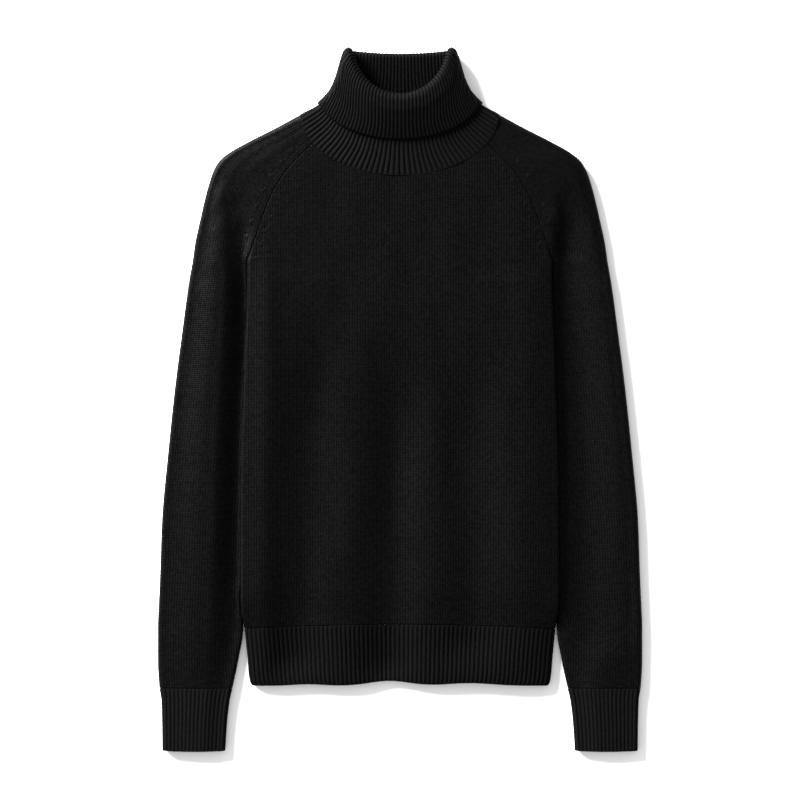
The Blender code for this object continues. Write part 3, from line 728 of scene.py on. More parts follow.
def bodyGrid(rows, stretches, columns):
    width = bodyCut["sectionWidth"]
    edge, fine, coarse = columns
    columnStretches = [(edge, fine), (width - edge, coarse), (width, fine)]
    shares = spread(width, columnStretches, cloth["rim"]) / width
    picked = [pick(points, outward, shares) for points, outward in rows]
    grid, facing, places = loft(picked, stretches, cloth["rim"])
    rounding = endsRound(places, cloth["seamRim"], cloth["seamRim"])[:, None]
    rounding = rounding * endsRound(shares * width, cloth["seamRim"], cloth["seamRim"])[None, :]
    return grid, facing, rounding, places


def bodyMap(grid, places):
    # knitted upwards: across the body, and along its middle
    middle = grid.shape[1] // 2
    along = places[:, None] + (grid[..., 1] - grid[:, middle : middle + 1, 1])
    return knitMap(grid[..., 0], along)


def makeFront():
    rows = []
    for index, row in enumerate(bodyCut["rows"]):
        y = row.y + (cloth["seam"] / 2 if index == 0 else 0.0)
        edgeZ = row.lift + 2.0 * bodyCut["edgeRadius"]
        rows.append(
            frontSection(bowed(y, row.bow, row.halfWidth), row.halfWidth, edgeZ, row.crown,
                         bodyCut["fullness"], sag=sagAt(row.y))
        )
    for row in yokeRows:
        seamX = row.frontX - cloth["seam"] / 2
        curve = yokeCurve(row, seamX, row.frontY, yokeRows[-1].frontX, neckFront)
        rows.append(frontSection(curve, seamX, row.frontZ, bodyCut["yokeCrown"],
                                 bodyCut["yokeFullness"], row.turn))
    steps, columns = bodyCut["frontSteps"], bodyCut["frontColumns"]
    grid, facing, rounding, places = bodyGrid(rows, steps, columns)
    x, y = grid[..., 0], grid[..., 1]
    across = pressFolds(grid)
    grid[..., 2] += ripple(x, y, bodyCut["ripples"]) * (1.0 - across ** bodyCut["rippleEdge"])
    relief = raglanRelief(grid, raglanLook["frontMark"], raglanLook["frontPitch"])
    uv = bodyMap(grid, places)
    return knitShell("frontPanel", grid, facing, cloth["plainThickness"], uv, rounding, relief)


def makeBack():
    rows = []
    for index, row in enumerate(bodyCut["rows"]):
        y = row.y + (cloth["seam"] / 2 if index == 0 else 0.0)
        rows.append(backSection(bowed(y, row.bow, row.halfWidth), row.halfWidth, row.lift))
    for row in yokeRows:
        seamX = row.backX - cloth["seam"] / 2
        curve = yokeCurve(row, seamX, row.backY, yokeRows[-1].backX, neckBack)
        rows.append(backSection(curve, seamX, row.backZ, row.turn))
    steps, columns = bodyCut["backSteps"], bodyCut["backColumns"]
    grid, facing, rounding, places = bodyGrid(rows, steps, columns)
    uv = bodyMap(grid, places)
    return knitShell("backPanel", grid, facing, cloth["plainThickness"], uv, rounding)


finishPiece(makeFront(), "front_panel", knitMaterial("frontKnit", plainLook))
finishPiece(makeBack(), "back_panel", knitMaterial("backKnit", plainLook))

# ribs

ribShape = {
    "roundness": 2.4,  # higher leaves narrower valleys
    "sunk": 0.6,  # share of a rib's height that its valley sinks into the cloth
    "sunkMore": 0.4,  # further share on a face that lies down
}


def ribProfile(count):
    # rounded ridges with narrow valleys: 0 in a valley and 1 on a ridge
    return 1.0 - np.abs(2.0 * (count % 1.0) - 1.0) ** ribShape["roundness"]


def bothCrests(count, places):
    crests = np.stack([ribProfile(count), ribProfile(count + 0.5)])
    return np.broadcast_to(crests[:, None], (2, len(places), len(count)))


def ribRelief(count, facing, height):
    # ridges on one face lie over valleys on the other, and none stands out of a face that lies down
    down = np.clip(-facing[..., 2], 0.0, 1.0)
    up = np.clip(facing[..., 2], 0.0, 1.0)
    sunk, more = ribShape["sunk"], ribShape["sunkMore"]
    over = height * (ribProfile(count)[None, :] - sunk - more * down)
    under = height * (ribProfile(count + 0.5)[None, :] - sunk - more * up)
    return over, under


def ribbedShell(name, grid, facing, places, thickness, uv, count, height, ring=False, start=None,
                crest=None):
    # ribs that grow from the seam, start being their share of the height, up to a free edge
    if start is None:
        start = ease(places / cloth["ribStart"])
    if crest is None:
        crest = bothCrests(count, places)
    over, under = ribRelief(count, facing, height)
    rounding = endsRound(places, cloth["seamRim"], cloth["rim"])[:, None]
    return knitShell(name, grid, facing, thickness, uv, rounding, over * start[:, None],
                     under * start[:, None], ring, crest)


# hem bands

hemCut = {
    "rows": [
        hemRow(0.0, 0.1786, 0.0128),
        hemRow(0.45, 0.1756, 0.0122),
        hemRow(0.93, 0.1724, 0.0118),
        hemRow(1.0, 0.1698, 0.0114),
    ],
    "edgeY": -0.3284,
    "rises": [  # where the folds pull the edge up: (x, half width, height)
        (-0.105, 0.024, 0.0017),
        (-0.012, 0.032, 0.0054),
        (0.080, 0.036, 0.0030),
    ],
    "ribs": 70,
    "ribHeight": 0.0009,
    "columnsPerRib": 7,
    "rowStep": 0.0024,
}


def hemCurve(row):
    seamRow = bodyCut["rows"][0]
    seamY = bowed(seamRow.y - cloth["seam"] / 2, seamRow.bow, seamRow.halfWidth)

    def rowY(x):
        edgeY = hemCut["edgeY"] + sum(
            rise * bump(x, middle, halfWidth) for middle, halfWidth, rise in hemCut["rises"]
        )
        return seamY(x) + (edgeY - seamY(x)) * row.reach

    return rowY


def makeHem(name, sectionOf, folds):
    rows = [sectionOf(row) for row in hemCut["rows"]]
    columns = hemCut["ribs"] * hemCut["columnsPerRib"]
    shares = np.linspace(0.0, 1.0, columns + 1)
    picked = [pick(points, outward, shares) for points, outward in rows]
    grid, facing, places = loft(picked, [(1.0, hemCut["rowStep"])], cloth["rim"])
    if folds:
        pressFolds(grid)
    uv = knitMap(shares[None, :] * bodyCut["sectionWidth"], places[:, None])
    return ribbedShell(name, grid, facing, places, cloth["ribThickness"], uv,
                       shares * hemCut["ribs"], hemCut["ribHeight"])


def frontHemSection(row):
    return frontSection(
        hemCurve(row), row.halfWidth, 2.0 * bodyCut["edgeRadius"], row.crown,
        bodyCut["fullness"], sag=sagAt(bodyCut["rows"][0].y),
    )


def backHemSection(row):
    return backSection(hemCurve(row), row.halfWidth, 0.0)


frontHem = makeHem("frontHemRib", frontHemSection, True)
finishPiece(frontHem, "front_hem_rib", knitMaterial("frontHemKnit", hemLook))
backHem = makeHem("backHemRib", backHemSection, False)
finishPiece(backHem, "back_hem_rib", knitMaterial("backHemKnit", hemLook))

# sleeves

sleeveRow = namedtuple(
    "sleeveRow", "y innerX outerX innerR innerZ troughX crownX crownZ outerR"
)
cuffRow = namedtuple("cuffRow", "y innerX outerX crownZ foldR")

sleeveCut = {
    "rows": [
        sleeveRow(-0.3312, 0.1924, 0.2766, 0.0047, 0.0047, 0.1990, 0.2240, 0.0116, 0.0048),
        sleeveRow(-0.3000, 0.1858, 0.2783, 0.0040, 0.0040, 0.1960, 0.2235, 0.0126, 0.0047),
        sleeveRow(-0.2620, 0.1800, 0.2783, 0.0032, 0.0034, 0.1890, 0.2200, 0.0137, 0.0046),
        sleeveRow(-0.2280, 0.1822, 0.2769, 0.0028, 0.0036, 0.1890, 0.2190, 0.0142, 0.0046),
        sleeveRow(-0.2000, 0.1793, 0.2757, 0.0026, 0.0040, 0.1885, 0.2175, 0.0146, 0.0046),
        sleeveRow(-0.1400, 0.1791, 0.2736, 0.0026, 0.0040, 0.1870, 0.2150, 0.0150, 0.0046),
        sleeveRow(-0.0600, 0.1784, 0.2664, 0.0026, 0.0036, 0.1855, 0.2125, 0.0152, 0.0047),
        sleeveRow(0.0200, 0.1758, 0.2579, 0.0026, 0.0030, 0.1820, 0.2090, 0.0153, 0.0047),
        sleeveRow(0.0800, 0.1732, 0.2501, 0.0026, 0.0026, 0.1790, 0.2050, 0.0153, 0.0047),
        sleeveRow(0.1150, 0.1740, 0.2455, 0.0026, 0.0034, 0.1790, 0.2035, 0.0153, 0.0047),
        sleeveRow(0.1400, 0.1744, 0.2418, 0.0024, 0.0052, 0.1795, 0.2025, 0.0152, 0.0047),
    ],
    "underarmZ": 0.0084,
    "underarmR": 0.0018,
    "underarmTuck": 0.0010,  # how far the sleeve's inner fold slips under the body's edge
    "level": 0.18,  # share of the width beyond the crown that stays nearly level
    "levelDrop": 0.0002,
    "ledge": 0.01,  # share of the width that stays level beside the inner fold
    "leastTrough": 0.03,
    "troughDrop": 0.0002,  # how far a trough may lie below the inner fold's thickness
    "troughSlope": 0.35,  # how steeply the cloth falls from its inner fold to the trough
    "flatterCrown": 0.0046,  # the wearer's left sleeve lies flatter, further from the body
    "flatterShift": 0.80,  # share of the way its crown moves towards the outer fold
    "flatterTrough": 0.0215,  # and its trough moves this far, growing below a height
    "flatterTop": 0.20,
    "flatterReach": 0.18,
    "flatterFold": 0.0006,
    "cuffReach": 0.08,  # both sleeves are alike at the cuff, and differ beyond this
    "flatterYoke": [  # ledge, trough, troughZ, crown and crownZ beside the first yoke rows
        (0.01, 0.22, 0.0060, 0.91, 0.0106),
        (0.02, 0.28, 0.0050, 0.89, 0.0108),
        (0.10, 0.38, 0.0064, 0.90, 0.0112),
        (0.33, 0.49, 0.0108, 0.86, 0.0126),
        (0.01, 0.50, 0.0140, 0.85, 0.0137),
        (0.01, 0.50, 0.0144, 0.85, 0.0139),
        (0.01, 0.50, 0.0147, 0.85, 0.0141),
    ],
    "ramp": 0.30,
    "seamColumns": 26,
    "overColumns": 30,
    "foldColumns": 8,
    "underColumns": 26,
    "seamWidth": 0.016,
    "sectionWidth": 0.070,  # usual width, for the columns
    "steps": [(0.485, 0.0042), (1.0, 0.0017)],  # up to a length, and step to there
    "ripples": [
        (0.00007, 0.055, 1.35, 0.3),
        (0.00004, 0.034, 1.80, 1.9),
        (0.00007, 0.071, 0.20, 2.6),
    ],
}


def foldArc(centre, way, radius, start, end):
    angles = np.linspace(start, end, cloth["arcPoints"])
    outward = np.stack(
        [way[0] * np.cos(angles), way[1] * np.cos(angles), np.sin(angles)], axis=1
    )
    return np.array(centre) + radius * outward, outward


def levelRun(path, height, up):
    share = np.linspace(0.0, 1.0, cloth["runPoints"])
    x, y = path(share)
    points = np.stack([x, y, height(share)], axis=1)
    return points, np.tile((0.0, 0.0, up), (len(share), 1))


def straight(start, end):
    return lambda share: (
        start[0] + (end[0] - start[0]) * share,
        start[1] + (end[1] - start[1]) * share,
    )


def rising(height):
    return lambda share: height * ease((share - 1.0) / sleeveCut["ramp"] + 1.0)


def towards(start, end):
    length = math.hypot(end[0] - start[0], end[1] - start[1])
    return ((end[0] - start[0]) / length, (end[1] - start[1]) / length)


def overNeck(startX):
    start = math.asin(startX / neckHalf)

    def path(share):
        angle = start + (neckCut["sweep"] - start) * share
        x = neckHalf * np.sin(angle)
        return x, neckFront(x)

    return path


def behindNeck(endX):
    sideX = neckSide()[0]

    def path(share):
        x = sideX + (endX - sideX) * share
        return x, neckBack(x)

    return path


def columnShares():
    # even columns of each part of a sleeve's section, closer together beside the seam
    cut = sleeveCut
    fold = np.linspace(0.0, 1.0, cut["foldColumns"] + 1)
    width = cut["sectionWidth"]
    seamStep = cut["seamWidth"] / cut["seamColumns"]
    overStep = (width - cut["seamWidth"]) / cut["overColumns"]
    over = spread(width, [(cut["seamWidth"], seamStep), (width, overStep)]) / width
    under = np.linspace(0.0, 1.0, cut["underColumns"] + 1)
    return fold, over, under


foldShares, overShares, underShares = columnShares()


def seamShares(shares):
    # where the sleeve ends at a seam, the inner fold's columns lie in its first stretch
    start = cloth["rim"] / sleeveCut["sectionWidth"]
    curl = start * (1.0 - np.cos(0.5 * math.pi * foldShares))
    return np.concatenate([curl, start + (1.0 - start) * shares[1:]])


def wholeSection(parts):
    points = []
    outward = []
    for (part, partOutward), shares in parts:
        picked, facing = pick(part, partOutward, shares)
        first = 1 if points else 0
        points.append(picked[first:])
        outward.append(facing[first:])
    return np.concatenate(points), np.concatenate(outward)


def fallKnot(crown, row):
    # the cloth stays nearly level a little beyond the crown
    return (crown + sleeveCut["level"] * (1.0 - crown), row.crownZ - sleeveCut["levelDrop"])


def yokeSleeveSection(row):
    front = (row.frontX + cloth["seam"] / 2, row.frontY)
    back = (row.backX + cloth["seam"] / 2, row.backY)
    outer = (row.outerX, row.outerY)
    way = towards(front, outer)
    fold = (outer[0] - row.outerR * way[0], outer[1] - row.outerR * way[1])
    over = straight(front, fold)
    under = straight(fold, back)
    if row.frontX == yokeRows[-1].frontX:
        way = (math.cos(neckCut["facing"]), math.sin(neckCut["facing"]))
        fold = neckSide()
        over = overNeck(front[0])
        under = behindNeck(back[0])
    startZ = row.frontZ - bodyCut["edgeRadius"] * (1.0 - math.cos(0.5 * math.pi * row.turn))
    knots = [(0.0, startZ), (row.ledge, startZ), (row.trough, row.troughZ),
             (row.crown, row.crownZ), (1.0, 2.0 * row.outerR)]
    centre = (fold[0], fold[1], row.outerR)
    rise = rising(row.backZ)
    seamUnder = 1.0 - seamShares(1.0 - underShares[::-1])[::-1]
    return wholeSection([
        (levelRun(over, lambda share: easedThrough(knots, share), 1.0), seamShares(overShares)),
        (foldArc(centre, way, row.outerR, math.pi / 2, 0.0), foldShares),
        (foldArc(centre, way, row.outerR, 0.0, -math.pi / 2), foldShares),
        (levelRun(under, rise, -1.0), seamUnder),
    ])


def tubeSection(row, seamGap, troughZ, over, under, ledge=sleeveCut["ledge"]):
    gapAngle = seamGap / 2 / row.innerR
    inner = (row.innerX + row.innerR, row.y, row.innerZ)
    fold = (row.outerX - row.outerR, row.y)
    innerTop = row.innerZ + row.innerR
    innerLow = row.innerZ - row.innerR
    width = fold[0] - inner[0]
    trough = (row.troughX - inner[0]) / width
    crown = (row.crownX - inner[0]) / width
    if troughZ is None:
        drop = sleeveCut["troughSlope"] * (row.troughX - inner[0])
        troughZ = max(innerTop - drop, 2.0 * row.innerR - sleeveCut["troughDrop"])
    knots = [(0.0, innerTop), (ledge, innerTop), (max(trough, sleeveCut["leastTrough"]), troughZ),
             (crown, row.crownZ), fallKnot(crown, row), (1.0, 2.0 * row.outerR)]
    centre = (fold[0], fold[1], row.outerR)
    ahead = (1.0, 0.0)
    overRun = levelRun(straight(inner, fold), lambda share: easedThrough(knots, share), 1.0)
    return [
        (foldArc(inner, ahead, row.innerR, math.pi - gapAngle, math.pi / 2), foldShares),
        (overRun, over),
        (foldArc(centre, ahead, row.outerR, math.pi / 2, 0.0), foldShares),
        (foldArc(centre, ahead, row.outerR, 0.0, -math.pi / 2), foldShares),
        (levelRun(straight(fold, inner), rising(innerLow), -1.0), under),
        (foldArc(inner, ahead, row.innerR, -math.pi / 2, -math.pi + gapAngle), foldShares),
    ]


def lowerSleeveSection(row, troughZ=None, ledge=sleeveCut["ledge"]):
    return wholeSection(tubeSection(row, cloth["seam"], troughZ, overShares, underShares, ledge))


def underarmSection(start):
    innerX = start.frontX - sleeveCut["underarmTuck"]
    inner = innerX + sleeveCut["underarmR"]
    width = start.outerX - start.outerR - inner
    row = sleeveRow(start.frontY, innerX, start.outerX,
                    sleeveCut["underarmR"], sleeveCut["underarmZ"], inner + start.trough * width,
                    inner + start.crown * width, start.crownZ, start.outerR)
    return lowerSleeveSection(row, start.troughZ, start.ledge)


def flatter(row, flatness):
    # one of the lower sleeve's rows as it lies on the flatter sleeve
    cut = sleeveCut
    below = ease((cut["flatterTop"] - row.y) / cut["flatterReach"])
    beyond = row.outerX - row.outerR - row.crownX
    return row._replace(
        crownZ=row.crownZ - flatness * cut["flatterCrown"],
        outerR=row.outerR + flatness * cut["flatterFold"],
        troughX=row.troughX + flatness * cut["flatterTrough"] * below,
        crownX=row.crownX + flatness * cut["flatterShift"] * beyond,
    )


def yokeBeside(flatness):
    # the yoke rows, their sleeve side flatter on one sleeve
    names = ("ledge", "trough", "troughZ", "crown", "crownZ")
    rows = list(yokeRows)
    for index, wanted in enumerate(sleeveCut["flatterYoke"]):
        row = rows[index]
        own = [getattr(row, name) for name in names]
        mixed = [a + flatness * (b - a) for a, b in zip(own, wanted)]
        rows[index] = row._replace(**dict(zip(names, mixed)))
    return rows


def makeSleeve(name, side, flatness):
    cuffY = sleeveCut["rows"][0].y
    reach = sleeveCut["cuffReach"]
    lower = [flatter(row, flatness * ease((row.y - cuffY) / reach)) for row in sleeveCut["rows"]]
    upper = yokeBeside(flatness)
    rows = [lowerSleeveSection(row) for row in lower]
    rows.append(underarmSection(upper[0]))
    rows += [yokeSleeveSection(row) for row in upper[1:]]
    grid, facing, places = loft(rows, sleeveCut["steps"], cloth["rim"])
    x, y = grid[..., 0], grid[..., 1]
    topSide = np.clip(facing[..., 2], 0.0, 1.0)
    grid[..., 2] += ripple(side * x, y, sleeveCut["ripples"]) * topSide
    relief = raglanRelief(grid, raglanLook["sleeveMark"], raglanLook["sleevePitch"]) * topSide
    outerColumn = 2 * sleeveCut["foldColumns"] + len(overShares) - 1
    steps = np.linalg.norm(np.diff(grid, axis=1), axis=2)
    along = np.concatenate([np.zeros((len(grid), 1)), np.cumsum(steps, axis=1)], axis=1)
    edge = np.minimum(along, along[:, -1:] - along)
    rounding = endsRound(places, cloth["seamRim"], cloth["seamRim"])[:, None]
    rounding = rounding * edgeRound(edge, cloth["rim"])
    uv = knitMap(along - along[:, outerColumn : outerColumn + 1], places[:, None])
    flip = np.array((side, 1.0, 1.0))
    return knitShell(name, grid * flip, facing * flip, cloth["plainThickness"], uv, rounding,
                     over=relief)


for sleeveName, sleeveNode, side, flatness in (
    ("leftSleeve", "left_sleeve", 1.0, 1.0),
    ("rightSleeve", "right_sleeve", -1.0, 0.0),
):
    sleeveKnit = knitMaterial(sleeveName + "Knit", plainLook)
    finishPiece(makeSleeve(sleeveName, side, flatness), sleeveNode, sleeveKnit)

# cuffs

cuffCut = {
    "rows": [
        cuffRow(-0.3315, 0.1925, 0.2765, 0.0116, 0.0048),
        cuffRow(-0.3450, 0.1955, 0.2743, 0.0115, 0.0048),
        cuffRow(-0.3700, 0.1985, 0.2735, 0.0114, 0.0048),
        cuffRow(-0.4033, 0.2007, 0.2731, 0.0112, 0.0048),
    ],
    "troughAndCrown": (0.03, 0.36),  # shares of the way across
    "bow": 0.0010,  # how much lower the middle of the edge lies
    "ribs": 36,
    "ribHeight": 0.0006,
    "columnsPerRib": 8,
    "evenPoints": 100,  # points a part of its section is drawn through
    "rowStep": 0.0026,
    "around": 0.162,  # length of cloth round the cuff, for its stitches
}


def makeCuff(name, side):
    columns = cuffCut["ribs"] * cuffCut["columnsPerRib"]
    shares = np.arange(columns) / columns
    evenly = np.linspace(0.0, 1.0, cuffCut["evenPoints"])
    rows = []
    for index, row in enumerate(cuffCut["rows"]):
        width = row.outerX - row.innerX - 2.0 * row.foldR
        troughX, crownX = (
            row.innerX + row.foldR + share * width for share in cuffCut["troughAndCrown"]
        )
        tube = sleeveRow(row.y, row.innerX, row.outerX, row.foldR, row.foldR, troughX, crownX,
                         row.crownZ, row.foldR)
        parts = tubeSection(tube, 0.0, None, evenly, evenly)
        points, outward = pick(*wholeSection([(part, evenly) for part, _ in parts]), shares)
        across = (2.0 * points[:, 0] - row.innerX - row.outerX) / (row.outerX - row.innerX)
        points[:, 1] -= cuffCut["bow"] * index / (len(cuffCut["rows"]) - 1) * (1.0 - across**2)
        rows.append((points, outward))
    grid, facing, places = loft(rows, [(1.0, cuffCut["rowStep"])], cloth["rim"])
    around = np.arange(columns + 1) / columns * cuffCut["around"]
    uv = knitMap(around[None, :], places[:, None])
    flip = np.array((side, 1.0, 1.0))
    return ribbedShell(name, grid * flip, facing * flip, places, cloth["ribThickness"], uv,
                       shares * cuffCut["ribs"], cuffCut["ribHeight"], ring=True)


for cuffName, cuffNode, side in (
    ("leftCuff", "left_cuff", 1.0),
    ("rightCuff", "right_cuff", -1.0),
):
    cuffKnit = knitMaterial(cuffName + "Knit", cuffLook)
    finishPiece(makeCuff(cuffName, side), cuffNode, cuffKnit)

# collar

collarLoop = namedtuple(
    "collarLoop", "sideX sideY frontY backY frontZ sideZ backZ foldR facing sweep ribs"
)

collarCut = {
    "stand": [
        collarLoop(0.1149, 0.3262, 0.2571, 0.3080, 0.0150, 0.0133, 0.0013, 0.0056, 72.5, 85.6, 25),
        collarLoop(0.0915, 0.3385, 0.2800, 0.3225, 0.0156, 0.0134, 0.0045, 0.0044, 60.0, 80.0, 24.5),
        collarLoop(0.0770, 0.3545, 0.3030, 0.3440, 0.0165, 0.0142, 0.0045, 0.0046, 38.0, 78.0, 23.4),
        collarLoop(0.0650, 0.3755, 0.3260, 0.3670, 0.0180, 0.0150, 0.0045, 0.0052, 28.0, 80.0, 23),
        collarLoop(0.0575, 0.4005, 0.3480, 0.3950, 0.0200, 0.0160, 0.0045, 0.0056, 25.0, 82.0, 24),
    ],
    "turned": [
        collarLoop(0.0650, 0.3970, 0.3410, 0.3947, 0.0268, 0.0220, 0.0013, 0.0078, 25.0, 83.0, 22.5),
        collarLoop(0.0690, 0.3845, 0.3335, 0.3820, 0.0266, 0.0220, 0.0013, 0.0076, 26.0, 81.0, 21.5),
        collarLoop(0.0718, 0.3740, 0.3250, 0.3700, 0.0250, 0.0210, 0.0013, 0.0072, 28.0, 78.0, 22),
        collarLoop(0.0800, 0.3550, 0.3115, 0.3500, 0.0220, 0.0188, 0.0013, 0.0064, 33.0, 75.0, 24.5),
        collarLoop(0.0942, 0.3395, 0.2986, 0.3300, 0.0187, 0.0163, 0.0013, 0.0054, 38.0, 75.0, 26.5),
    ],
    "finerLoops": 4,  # loops drawn between two rows above
    "rollSteps": 12,
    "rollHandle": 0.66,
    "rollReach": 0.0036,
    "foldHeightShare": 0.6,  # ribs spread out a little where they turn down round the side fold
    "ribs": 40,  # from the middle of the front to the middle of the back
    "frontSpacing": 22,  # ribs that would fill the front at the spacing they have in its middle
    "crowding": 2.0,  # how near the side fold the spacing makes up for the row's own count
    "columnsPerRib": 7,
    "ribHeight": 0.0009,
    "insidePaintedShade": 0.20,  # painted shade: how much darker and duller the ribs of the cloth's inside are, for the turned-down part that faces away from the light
    "backPaintedShade": 0.35,  # painted shade: how much darker still within the back of the neck, under the roll
    "backRibs": 26,  # where the back of the neck starts, in ribs from the front's middle
    "backBlur": 3.0,
    "backTop": 0.58,  # the share of the collar that is its stand
    "backEnd": 0.04,
    "ribWidth": 0.0050,  # width of cloth a rib takes up, for its stitches
    "ribStart": 0.006,  # the ribs grow over this length from a share of their height
    "ribShare": 0.3,
    "rowStep": 0.0025,
    "frontPoints": 200,  # points a loop is drawn through
    "sidePoints": 61,
    "backPoints": 100,
}


def finerTable(table, steps):
    # the rows of a table with smooth rows between them
    values = np.array(table)
    places = lengthAlong(values[:, 1:3])
    share = np.arange((len(table) - 1) * steps + 1) / steps
    wanted = np.interp(share, np.arange(len(table)), places)
    return [collarLoop(*row) for row in smoothThrough(values, places, wanted)]


def loopFront(loop, foldX, foldY):
    # from the front's middle to the side fold
    sweep = math.radians(loop.sweep)
    angle = np.linspace(0.0, sweep, collarCut["frontPoints"])
    along = (1.0 - np.cos(angle)) / (1.0 - math.cos(sweep))
    front = np.stack([
        foldX * np.sin(angle) / math.sin(sweep),
        loop.frontY + (foldY - loop.frontY) * along,
        loop.frontZ + (loop.sideZ - loop.frontZ) * along,
    ], axis=1)
    return front, np.tile((0.0, 0.0, 1.0), (len(front), 1))


def loopSide(loop, foldX, foldY, wayX, wayY):
    # round the side fold, which points along way
    depth = (loop.sideZ - loop.backZ) / 2
    turn = np.linspace(0.0, math.pi, collarCut["sidePoints"])
    reach = loop.foldR * np.sin(turn)
    side = np.stack([
        foldX + reach * wayX,
        foldY + reach * wayY,
        (loop.sideZ + loop.backZ) / 2 + depth * np.cos(turn),
    ], axis=1)
    level = np.sin(turn) / loop.foldR
    return side, unit(np.stack([level * wayX, level * wayY, np.cos(turn) / depth], axis=1))


def loopBack(loop, foldX, foldY):
    # from the side fold to the back's middle
    across = np.linspace(1.0, 0.0, collarCut["backPoints"])[1:]
    back = np.stack([
        foldX * across,
        loop.backY + (foldY - loop.backY) * across ** neckCut["backPower"],
        np.full(len(across), loop.backZ),
    ], axis=1)
    return back, np.tile((0.0, 0.0, -1.0), (len(back), 1))


def halfLoop(loop):
    # middle of the cloth from the front's middle round the side fold to the back's
    wayX = math.cos(math.radians(loop.facing))
    wayY = math.sin(math.radians(loop.facing))
    foldX = loop.sideX - loop.foldR * wayX
    foldY = loop.sideY - loop.foldR * wayY
    front, frontOut = loopFront(loop, foldX, foldY)
    side, sideOut = loopSide(loop, foldX, foldY, wayX, wayY)
    back, backOut = loopBack(loop, foldX, foldY)
    outline = len(side) // 2
    perRib = collarCut["columnsPerRib"]
    column = np.arange(collarCut["ribs"] * perRib + 1)
    ahead = column <= loop.ribs * perRib
    more = loop.ribs / collarCut["frontSpacing"]
    share = column[ahead] / (loop.ribs * perRib)
    first = pick(
        np.concatenate([front, side[1 : outline + 1]]),
        np.concatenate([frontOut, sideOut[1 : outline + 1]]),
        more * share - (more - 1.0) * share ** collarCut["crowding"],
        collarCut["foldHeightShare"],
    )
    rest = pick(
        np.concatenate([side[outline:], back]),
        np.concatenate([sideOut[outline:], backOut]),
        (column[~ahead] / perRib - loop.ribs) / (collarCut["ribs"] - loop.ribs),
    )
    return np.concatenate([first[0], rest[0]]), np.concatenate([first[1], rest[1]])


def rollLoops(below, start, end, beyond):
    # loops over the roll, from the stand's last loop to the turned part's first
    leaving = unit(start - below)
    arriving = unit(beyond - end)
    back = np.sum((start - end) * leaving, axis=1, keepdims=True)
    wide = np.linalg.norm(start - end - back * leaving, axis=1, keepdims=True)
    handle = np.minimum(collarCut["rollHandle"] * wide, collarCut["rollReach"])
    first = start + handle * leaving
    second = end - (handle + np.maximum(back, 0.0)) * arriving
    loops = []
    for step in range(1, collarCut["rollSteps"]):
        t = step / collarCut["rollSteps"]
        u = 1.0 - t
        points = u**3 * start + 3 * u * u * t * first + 3 * u * t * t * second + t**3 * end
        travel = u * u * (first - start) + 2 * u * t * (second - first) + t * t * (end - second)
        loops.append((points, unit(np.cross(np.gradient(points, axis=0), travel))))
    return loops


def makeCollar():
    steps = collarCut["finerLoops"]
    stand = [halfLoop(loop) for loop in finerTable(collarCut["stand"], steps)]
    turned = [halfLoop(loop) for loop in finerTable(collarCut["turned"], steps)]
    halves = stand + rollLoops(stand[-2][0], stand[-1][0], turned[0][0], turned[1][0])
    halves += [(points, -outward) for points, outward in turned]
    flip = np.array((-1.0, 1.0, 1.0))
    half = cloth["collarThickness"] / 2
    rows = []
    for points, outward in halves:
        points = np.concatenate([points, points[-2:0:-1] * flip])
        outward = np.concatenate([outward, outward[-2:0:-1] * flip])
        rows.append((points + half * outward, outward))
    grid, facing, places = loft(rows, [(1.0, collarCut["rowStep"])], cloth["rim"])
    ribs = 2 * collarCut["ribs"]
    columns = grid.shape[1]
    count = np.arange(columns) / collarCut["columnsPerRib"]
    start = ease(collarCut["ribShare"] + places / collarCut["ribStart"])
    outside, inside = bothCrests(count, places)
    # painted shade: the inside's ribs are darkened, more so within the back of the neck under the roll
    fromFront = np.minimum(count, ribs - count)
    shaded = ease((fromFront - collarCut["backRibs"]) / collarCut["backBlur"])
    upTheStand = places[:, None] / places[-1]
    shaded = shaded * ease((collarCut["backTop"] - upTheStand) / collarCut["backEnd"])
    inside = inside * (1.0 - collarCut["insidePaintedShade"] - collarCut["backPaintedShade"] * shaded)
    around = np.arange(columns + 1) / columns * ribs * collarCut["ribWidth"]
    uv = knitMap(around[None, :], places[:, None])
    return ribbedShell("rollCollar", grid, facing, places, cloth["collarThickness"], uv, count,
                       collarCut["ribHeight"], True, start, (outside, inside))


finishPiece(makeCollar(), "collar", knitMaterial("collarKnit", ribLook))

# floor, lights and camera

studio = {
    "floorSize": 8.0,
    "floorColour": (0.90, 0.90, 0.90),
    "floorRoughness": 0.9,
    "floorGloss": 0.1,
    "viewWidth": 0.920,
    "viewMiddleY": -0.0003,
    "lens": 200.0,
    "keyAzimuth": 137.0,
    "keyElevation": 18.0,
    "keyDistance": 9.0,
    "keySize": 4.2,
    "keyPower": 8900.0,
    "skyStrength": 0.92,
}


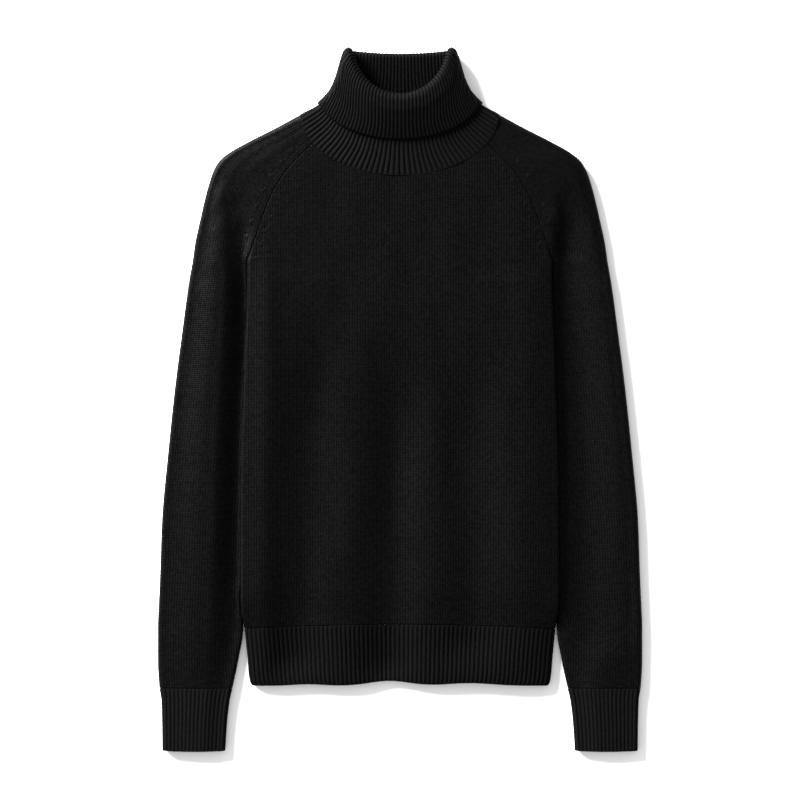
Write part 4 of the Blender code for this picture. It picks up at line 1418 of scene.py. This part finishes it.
def makeFloor():
    half = studio["floorSize"] / 2
    mesh = bpy.data.meshes.new("floor")
    corners = [(-half, -half, 0.0), (half, -half, 0.0), (half, half, 0.0), (-half, half, 0.0)]
    mesh.from_pydata(corners, [], [(0, 1, 2, 3)])
    floor = bpy.data.objects.new("floor", mesh)
    floor.location.z = cadBox[0][2] - cloth["floorGap"]
    bpy.context.scene.collection.objects.link(floor)
    material = bpy.data.materials.new("floorPaper")
    material.use_nodes = True
    shader = material.node_tree.nodes["Principled BSDF"]
    shader.inputs["Base Color"].default_value = (*studio["floorColour"], 1.0)
    shader.inputs["Roughness"].default_value = studio["floorRoughness"]
    shader.inputs["Specular IOR Level"].default_value = studio["floorGloss"]
    mesh.materials.append(material)
    return floor


def makeLights():
    azimuth = math.radians(studio["keyAzimuth"])
    elevation = math.radians(studio["keyElevation"])
    way = Vector((
        math.cos(azimuth) * math.cos(elevation),
        math.sin(azimuth) * math.cos(elevation),
        math.sin(elevation),
    ))
    light = bpy.data.lights.new("keyLight", "AREA")
    light.shape = "DISK"
    light.size = studio["keySize"]
    light.energy = studio["keyPower"]
    key = bpy.data.objects.new("keyLight", light)
    key.location = way * studio["keyDistance"]
    key.rotation_euler = way.to_track_quat("Z", "Y").to_euler()
    bpy.context.scene.collection.objects.link(key)
    world = bpy.data.worlds.new("softSky")
    world.use_nodes = True
    background = world.node_tree.nodes["Background"]
    background.inputs["Color"].default_value = (1.0, 1.0, 1.0, 1.0)
    background.inputs["Strength"].default_value = studio["skyStrength"]
    bpy.context.scene.world = world


def makeCamera():
    data = bpy.data.cameras.new("camera")
    data.lens = studio["lens"]
    camera = bpy.data.objects.new("camera", data)
    height = studio["viewWidth"] * data.lens / data.sensor_width
    camera.location = (0.0, studio["viewMiddleY"], height)
    data.clip_end = 4.0 * height  # well beyond the floor
    bpy.context.scene.collection.objects.link(camera)
    bpy.context.scene.camera = camera


floor = makeFloor()
makeLights()
makeCamera()
bpy.context.scene.view_settings.view_transform = "Standard"
print("floor, lights and camera set")
